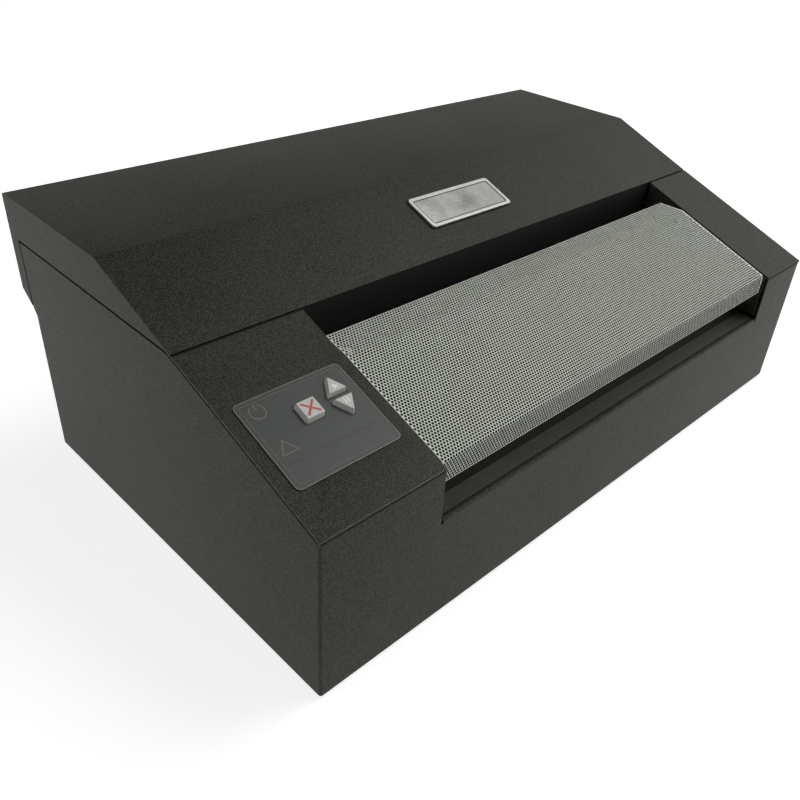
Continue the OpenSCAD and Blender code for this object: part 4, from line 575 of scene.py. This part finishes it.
def key_caps():
    """The square stop button and the two triangles, one of them turned round."""
    square = np.array([(-1, -1), (1, -1), (1, 1), (-1, 1)]) * STOP_W / 2
    arrow = np.array([(-ARROW_W / 2, -ARROW_IN), (ARROW_W / 2, -ARROW_IN), (0, 2 * ARROW_IN)])
    key_cap("stop_button", OVERLAY_X, STOP_S, square, STOP_W / 2, STOP_FOOT)
    key_cap("start_button", ARROW_X, START_S, arrow, ARROW_IN, ARROW_FOOT)
    key_cap("pause_button", ARROW_X, PAUSE_S, -arrow, ARROW_IN, ARROW_FOOT)


# Printed lines, signs, painted shade and shadow lines, and other thin trim

def stroke(name, path, width, height, body, material, closed=False, thick=INK_T, onto=on_deck):
    """A flat line on the deck or the lid: the path's points moved half a width to each side along the
    mitred normal, at two heights, joined round its section. Open lines are closed at both ends."""
    p = np.asarray(path, float)
    ahead = np.roll(p, -1, 0) - p
    behind = p - np.roll(p, 1, 0)
    if not closed:
        ahead[-1], behind[0] = behind[-1], ahead[0]
    ahead /= np.linalg.norm(ahead, axis=1, keepdims=True)
    behind /= np.linalg.norm(behind, axis=1, keepdims=True)
    mean = ahead + behind
    mean /= np.linalg.norm(mean, axis=1, keepdims=True)
    longest_mitre = 2.5
    mitre = np.minimum(longest_mitre, 1 / np.sum(mean * ahead, 1))
    side = np.stack([-mean[:, 1], mean[:, 0]], 1) * mitre[:, None] * width / 2
    section = ((p + side, height), (p - side, height), (p - side, height + thick), (p + side, height + thick))
    verts = np.concatenate([onto(edge[:, 0], edge[:, 1], h) for edge, h in section])
    n = len(p)
    i = np.arange(n if closed else n - 1)
    j = (i + 1) % n
    a = n * np.arange(4)[:, None]
    b = np.roll(a, -1, 0)
    faces = [*np.stack([a + i, a + j, b + j, b + i], -1).reshape(-1, 4)]
    if not closed:
        faces += [[0, n, 2 * n, 3 * n], [4 * n - 1, 3 * n - 1, 2 * n - 1, n - 1]]
    new_piece(name, verts, faces, body, material)


def soft_frame(x, s, w, h, r):
    """Rounded rectangle round the point x, s: four quarter circles in turn."""
    quarters, points = ((1, 1, 0), (-1, 1, 90), (-1, -1, 180), (1, -1, 270)), 7
    return np.concatenate([arc(x + i * (w / 2 - r), s + j * (h / 2 - r), r, start, start + 90, points)
                           for i, j, start in quarters])


def panel_signs():
    """A painted highlight close inside the film's edge, then border lines, the divider and the two unlit
    indicator signs as thin printed lines on the film: rounded frames inside its outline, a straight line, an
    open ring with a bar, and a triangle."""
    def line(name, path, width, ink, closed=False):
        """A line on top of the film."""
        stroke(name, path, width, OVERLAY_TOP, "base", ink, closed)

    for name, inset, width, ink in (("panel_edge_highlight", 0.35, 0.4, edge_highlight_ink),
                                    ("panel_border_dark", 2.6, 0.35, dark_ink),
                                    ("panel_border_pale", 3.0, 0.3, faint_ink)):
        w, h, r = OVERLAY_W - 2 * inset, OVERLAY_H - 2 * inset, OVERLAY_R - inset / 2
        line(name, soft_frame(OVERLAY_X, OVERLAY_S, w, h, r), width, ink, True)
    divider_l, divider_r, divider_s, divider_w = 15.0, 80.0, 47.0, 0.35
    line("panel_divider", [(divider_l, divider_s), (divider_r, divider_s)], divider_w, dark_ink)
    sign_w = 0.6
    x, s, r, bar_low, bar_high = 20.5, 84.5, 4.9, 85.2, 90.2
    line("power_sign_ring", arc(x, s, r, 120, 420, 28), sign_w, faint_ink)
    line("power_sign_bar", [(x, bar_low), (x, bar_high)], sign_w, faint_ink)
    x, s, half, tall = 20.9, 53.0, 5.3, 9.0
    line("indicator_triangle", [(x - half, s), (x + half, s), (x, s + tall)], sign_w, faint_ink, True)


def key_signs():
    """A cross, a triangle and two bars on top of the buttons. One bar of the cross lies a little higher."""
    def line(name, key, path, width, ink, closed=False, thick=INK_T):
        """A line on top of a button."""
        stroke(name, path, width, KEY_H, key, ink, closed, thick)

    x, s, half, width = OVERLAY_X, STOP_S, 4.4, 1.4
    line("stop_cross_a", "stop_button", [(x - half, s - half), (x + half, s + half)], width, red_ink)
    line("stop_cross_b", "stop_button", [(x - half, s + half), (x + half, s - half)], width, red_ink,
         thick=INK_T + 0.01)
    inwards = 0.4
    x, s, half, width = ARROW_X, START_S - inwards, 1.3, 0.9
    back_x, tip_x = x - 0.9, x + 1.2
    triangle = [(back_x, s - half), (tip_x, s), (back_x, s + half)]
    line("start_sign", "start_button", triangle, width, key_ink, True)
    s, half, width, apart = PAUSE_S + inwards, 2.1, 0.8, 1.1
    for side, bar_x in (("left", x - apart), ("right", x + apart)):
        line(f"pause_sign_{side}", "pause_button", [(bar_x, s - half), (bar_x, s + half)], width, key_ink)


def badge_face():
    """The badge's bare face, a thin rounded plate between its rim, with broad painted reflections, a dark
    line of painted shade close inside the rim and a painted shadow line round the badge."""
    def outline(grow, r):
        """The badge's rounded outline, wider and higher by grow."""
        return soft_frame(BODY_W / 2, BADGE_S, BADGE_W + grow, BADGE_H + grow, r)

    face_t, line_w, inside = 0.1, 0.9, -2 * BADGE_RIM
    face_gap, face_r, inner_shade_gap, inner_shade_r, shadow_line_gap, shadow_line_r = 0.4, 1.6, 1.1, 1.2, 0.5, 3.2
    x, s = outline(inside - face_gap, face_r).T
    loops = [on_lid(x, s, h) for h in (BADGE_FACE, BADGE_FACE + face_t)]
    lofted("badge_face", loops, "lid", badge_silver_reflections)
    # Painted shade: a dark line close inside the rim, then a painted shadow line round the badge.
    stroke("badge_inner_shade_line", outline(inside - inner_shade_gap, inner_shade_r), line_w, BADGE_FACE + face_t, "lid",
           dark_ink, True, onto=on_lid)
    stroke("badge_shadow_line", outline(shadow_line_gap, shadow_line_r), line_w, 0.0, "lid", painted_shade, True,
           onto=on_lid)


def deck_shadow_lines():
    """A flat dark strip across each deck panel, along its back edge below the lid's front edge: a painted
    shadow line in the gap under the lid.
    """
    width, from_end, from_sides = 1.1, 1.0, 0.6
    s = (DECK_RUN - from_end) / math.cos(DECK_PITCH)
    for side, start, end in (("left", 0.0, LEFT_STRIP), ("right", OPENING_R, BODY_W)):
        path = [(start + from_sides, s), (end - from_sides, s)]
        stroke(f"{side}_deck_shadow_line", path, width, 0.0, "base", painted_shade)


# Floor, light and camera, in metres

def pale_paper():
    """The floor's finish: matt paper that takes the machine's shadow, mixed with an even glow for the
    camera and for what mirrors or shows the floor."""
    glow_strength, glow_share = 1.42, 0.56
    mat = bpy.data.materials.new("pale floor")
    mat.use_nodes = True
    tree = mat.node_tree
    paper = tree.nodes["Principled BSDF"]
    paper.inputs["Base Color"].default_value = (0.97, 0.97, 0.97, 1)
    paper.inputs["Roughness"].default_value = 0.9
    paper.inputs["Specular IOR Level"].default_value = 0.0
    glow = tree.nodes.new("ShaderNodeEmission")
    glow.inputs["Strength"].default_value = glow_strength
    ray = tree.nodes.new("ShaderNodeLightPath").outputs
    seen = math_node(tree, "MAXIMUM", ray["Is Camera Ray"], ray["Is Glossy Ray"])
    seen = math_node(tree, "MAXIMUM", seen, ray["Is Transmission Ray"])
    mix = tree.nodes.new("ShaderNodeMixShader")
    tree.links.new(math_node(tree, "MULTIPLY", seen, glow_share), mix.inputs["Fac"])
    tree.links.new(paper.outputs["BSDF"], mix.inputs[1])
    tree.links.new(glow.outputs["Emission"], mix.inputs[2])
    tree.links.new(mix.outputs["Shader"], tree.nodes["Material Output"].inputs["Surface"])
    return mat


def floor():
    """A wide pale floor that curves up into a wall all round. Its side view, a straight line, a quarter
    circle and a straight line, is turned about the upright axis: a point is (r cos a, r sin a, z)."""
    disc, reach, bend, wall, around = 4.0, 14.0, 2.5, 5.0, 96
    r, z = np.vstack([(disc, 0.0), arc(reach - bend, bend, bend, -90, 0, 12), (reach, wall)]).T
    a = np.linspace(0, 2 * math.pi, around, endpoint=False)
    points = np.stack([np.outer(r, np.cos(a)), np.outer(r, np.sin(a)), np.outer(z, np.ones(around))], -1)
    i = np.arange(around)
    j = np.roll(i, -1)
    k = around * np.arange(len(r) - 1)[:, None]
    quads = np.stack([k + i, k + around + i, k + around + j, k + j], -1).reshape(-1, 4)
    mesh = bpy.data.meshes.new("floor")
    mesh.from_pydata(points.reshape(-1, 3).tolist(), [], [i.tolist(), *quads.tolist()])
    mesh.shade_smooth()
    mesh.materials.append(pale_paper())
    obj = bpy.data.objects.new("floor", mesh)
    bpy.context.scene.collection.objects.link(obj)


def dome():
    """Faint even light from all round."""
    world = bpy.data.worlds.new("studio")
    world.use_nodes = True
    bpy.context.scene.world = world
    sky = world.node_tree.nodes["Background"]
    sky.inputs["Color"].default_value = (1, 1, 1, 1)
    sky.inputs["Strength"].default_value = 0.03


# Place, diameter and watts of the lamps
LAMPS = {"deck lamp": ((2.4, -0.7, 4.3), 2.5, 74),
         "right lamp": ((3.5, 0.0, 3.6), 5.0, 34),
         "right front lamp": ((3.6, -1.5, 3.1), 5.0, 64),
         "left lamp": ((-4.0, 1.5, 2.5), 5.0, 52),
         "front lamp": ((1.0, -4.4, 2.3), 5.0, 37),
         "back lamp": ((-2.6, 4.2, 1.8), 5.0, 14)}


def lamps():
    """Large soft round lamps, each turned so that its back points away from the machine's middle and its
    sides are level."""
    target = np.array((0, 0, 0.1))
    for name, (at, wide, watts) in LAMPS.items():
        light = bpy.data.lights.new(name, "AREA")
        light.shape = "DISK"
        light.size = wide
        light.energy = watts
        obj = bpy.data.objects.new(name, light)
        bpy.context.scene.collection.objects.link(obj)
        back = at - target
        back /= np.linalg.norm(back)
        level = np.cross((0, 0, 1), back)
        level /= np.linalg.norm(level)
        turn = np.stack([level, np.cross(back, level), back], 1)
        obj.matrix_world = Matrix.Translation(at) @ Matrix(turn.tolist()).to_4x4()


def camera():
    """The photograph's camera: a lens for a 36 mm sensor, rolled, tilted up from straight down and turned
    to its heading, in this order."""
    at = (-0.476653, -0.408566, 0.414775)
    heading, tilt, roll = (math.radians(angle) for angle in (-45.956, 56.501, 3.468))
    lens = bpy.data.cameras.new("camera")
    lens.sensor_width = 36.0
    lens.lens = 36.71
    lens.clip_start = 0.01
    obj = bpy.data.objects.new("camera", lens)
    bpy.context.scene.collection.objects.link(obj)
    turn = Matrix.Rotation(heading, 4, "Z") @ Matrix.Rotation(tilt, 4, "X") @ Matrix.Rotation(roll, 4, "Z")
    obj.matrix_world = Matrix.Translation(at) @ turn
    bpy.context.scene.camera = obj


# The whole machine in its studio

dressed_nodes()
perforated_guide()
guide_pivots()
key_caps()
panel_signs()
key_signs()
badge_face()
deck_shadow_lines()
floor()
dome()
lamps()
camera()
bpy.context.scene.view_settings.view_transform = "Standard"
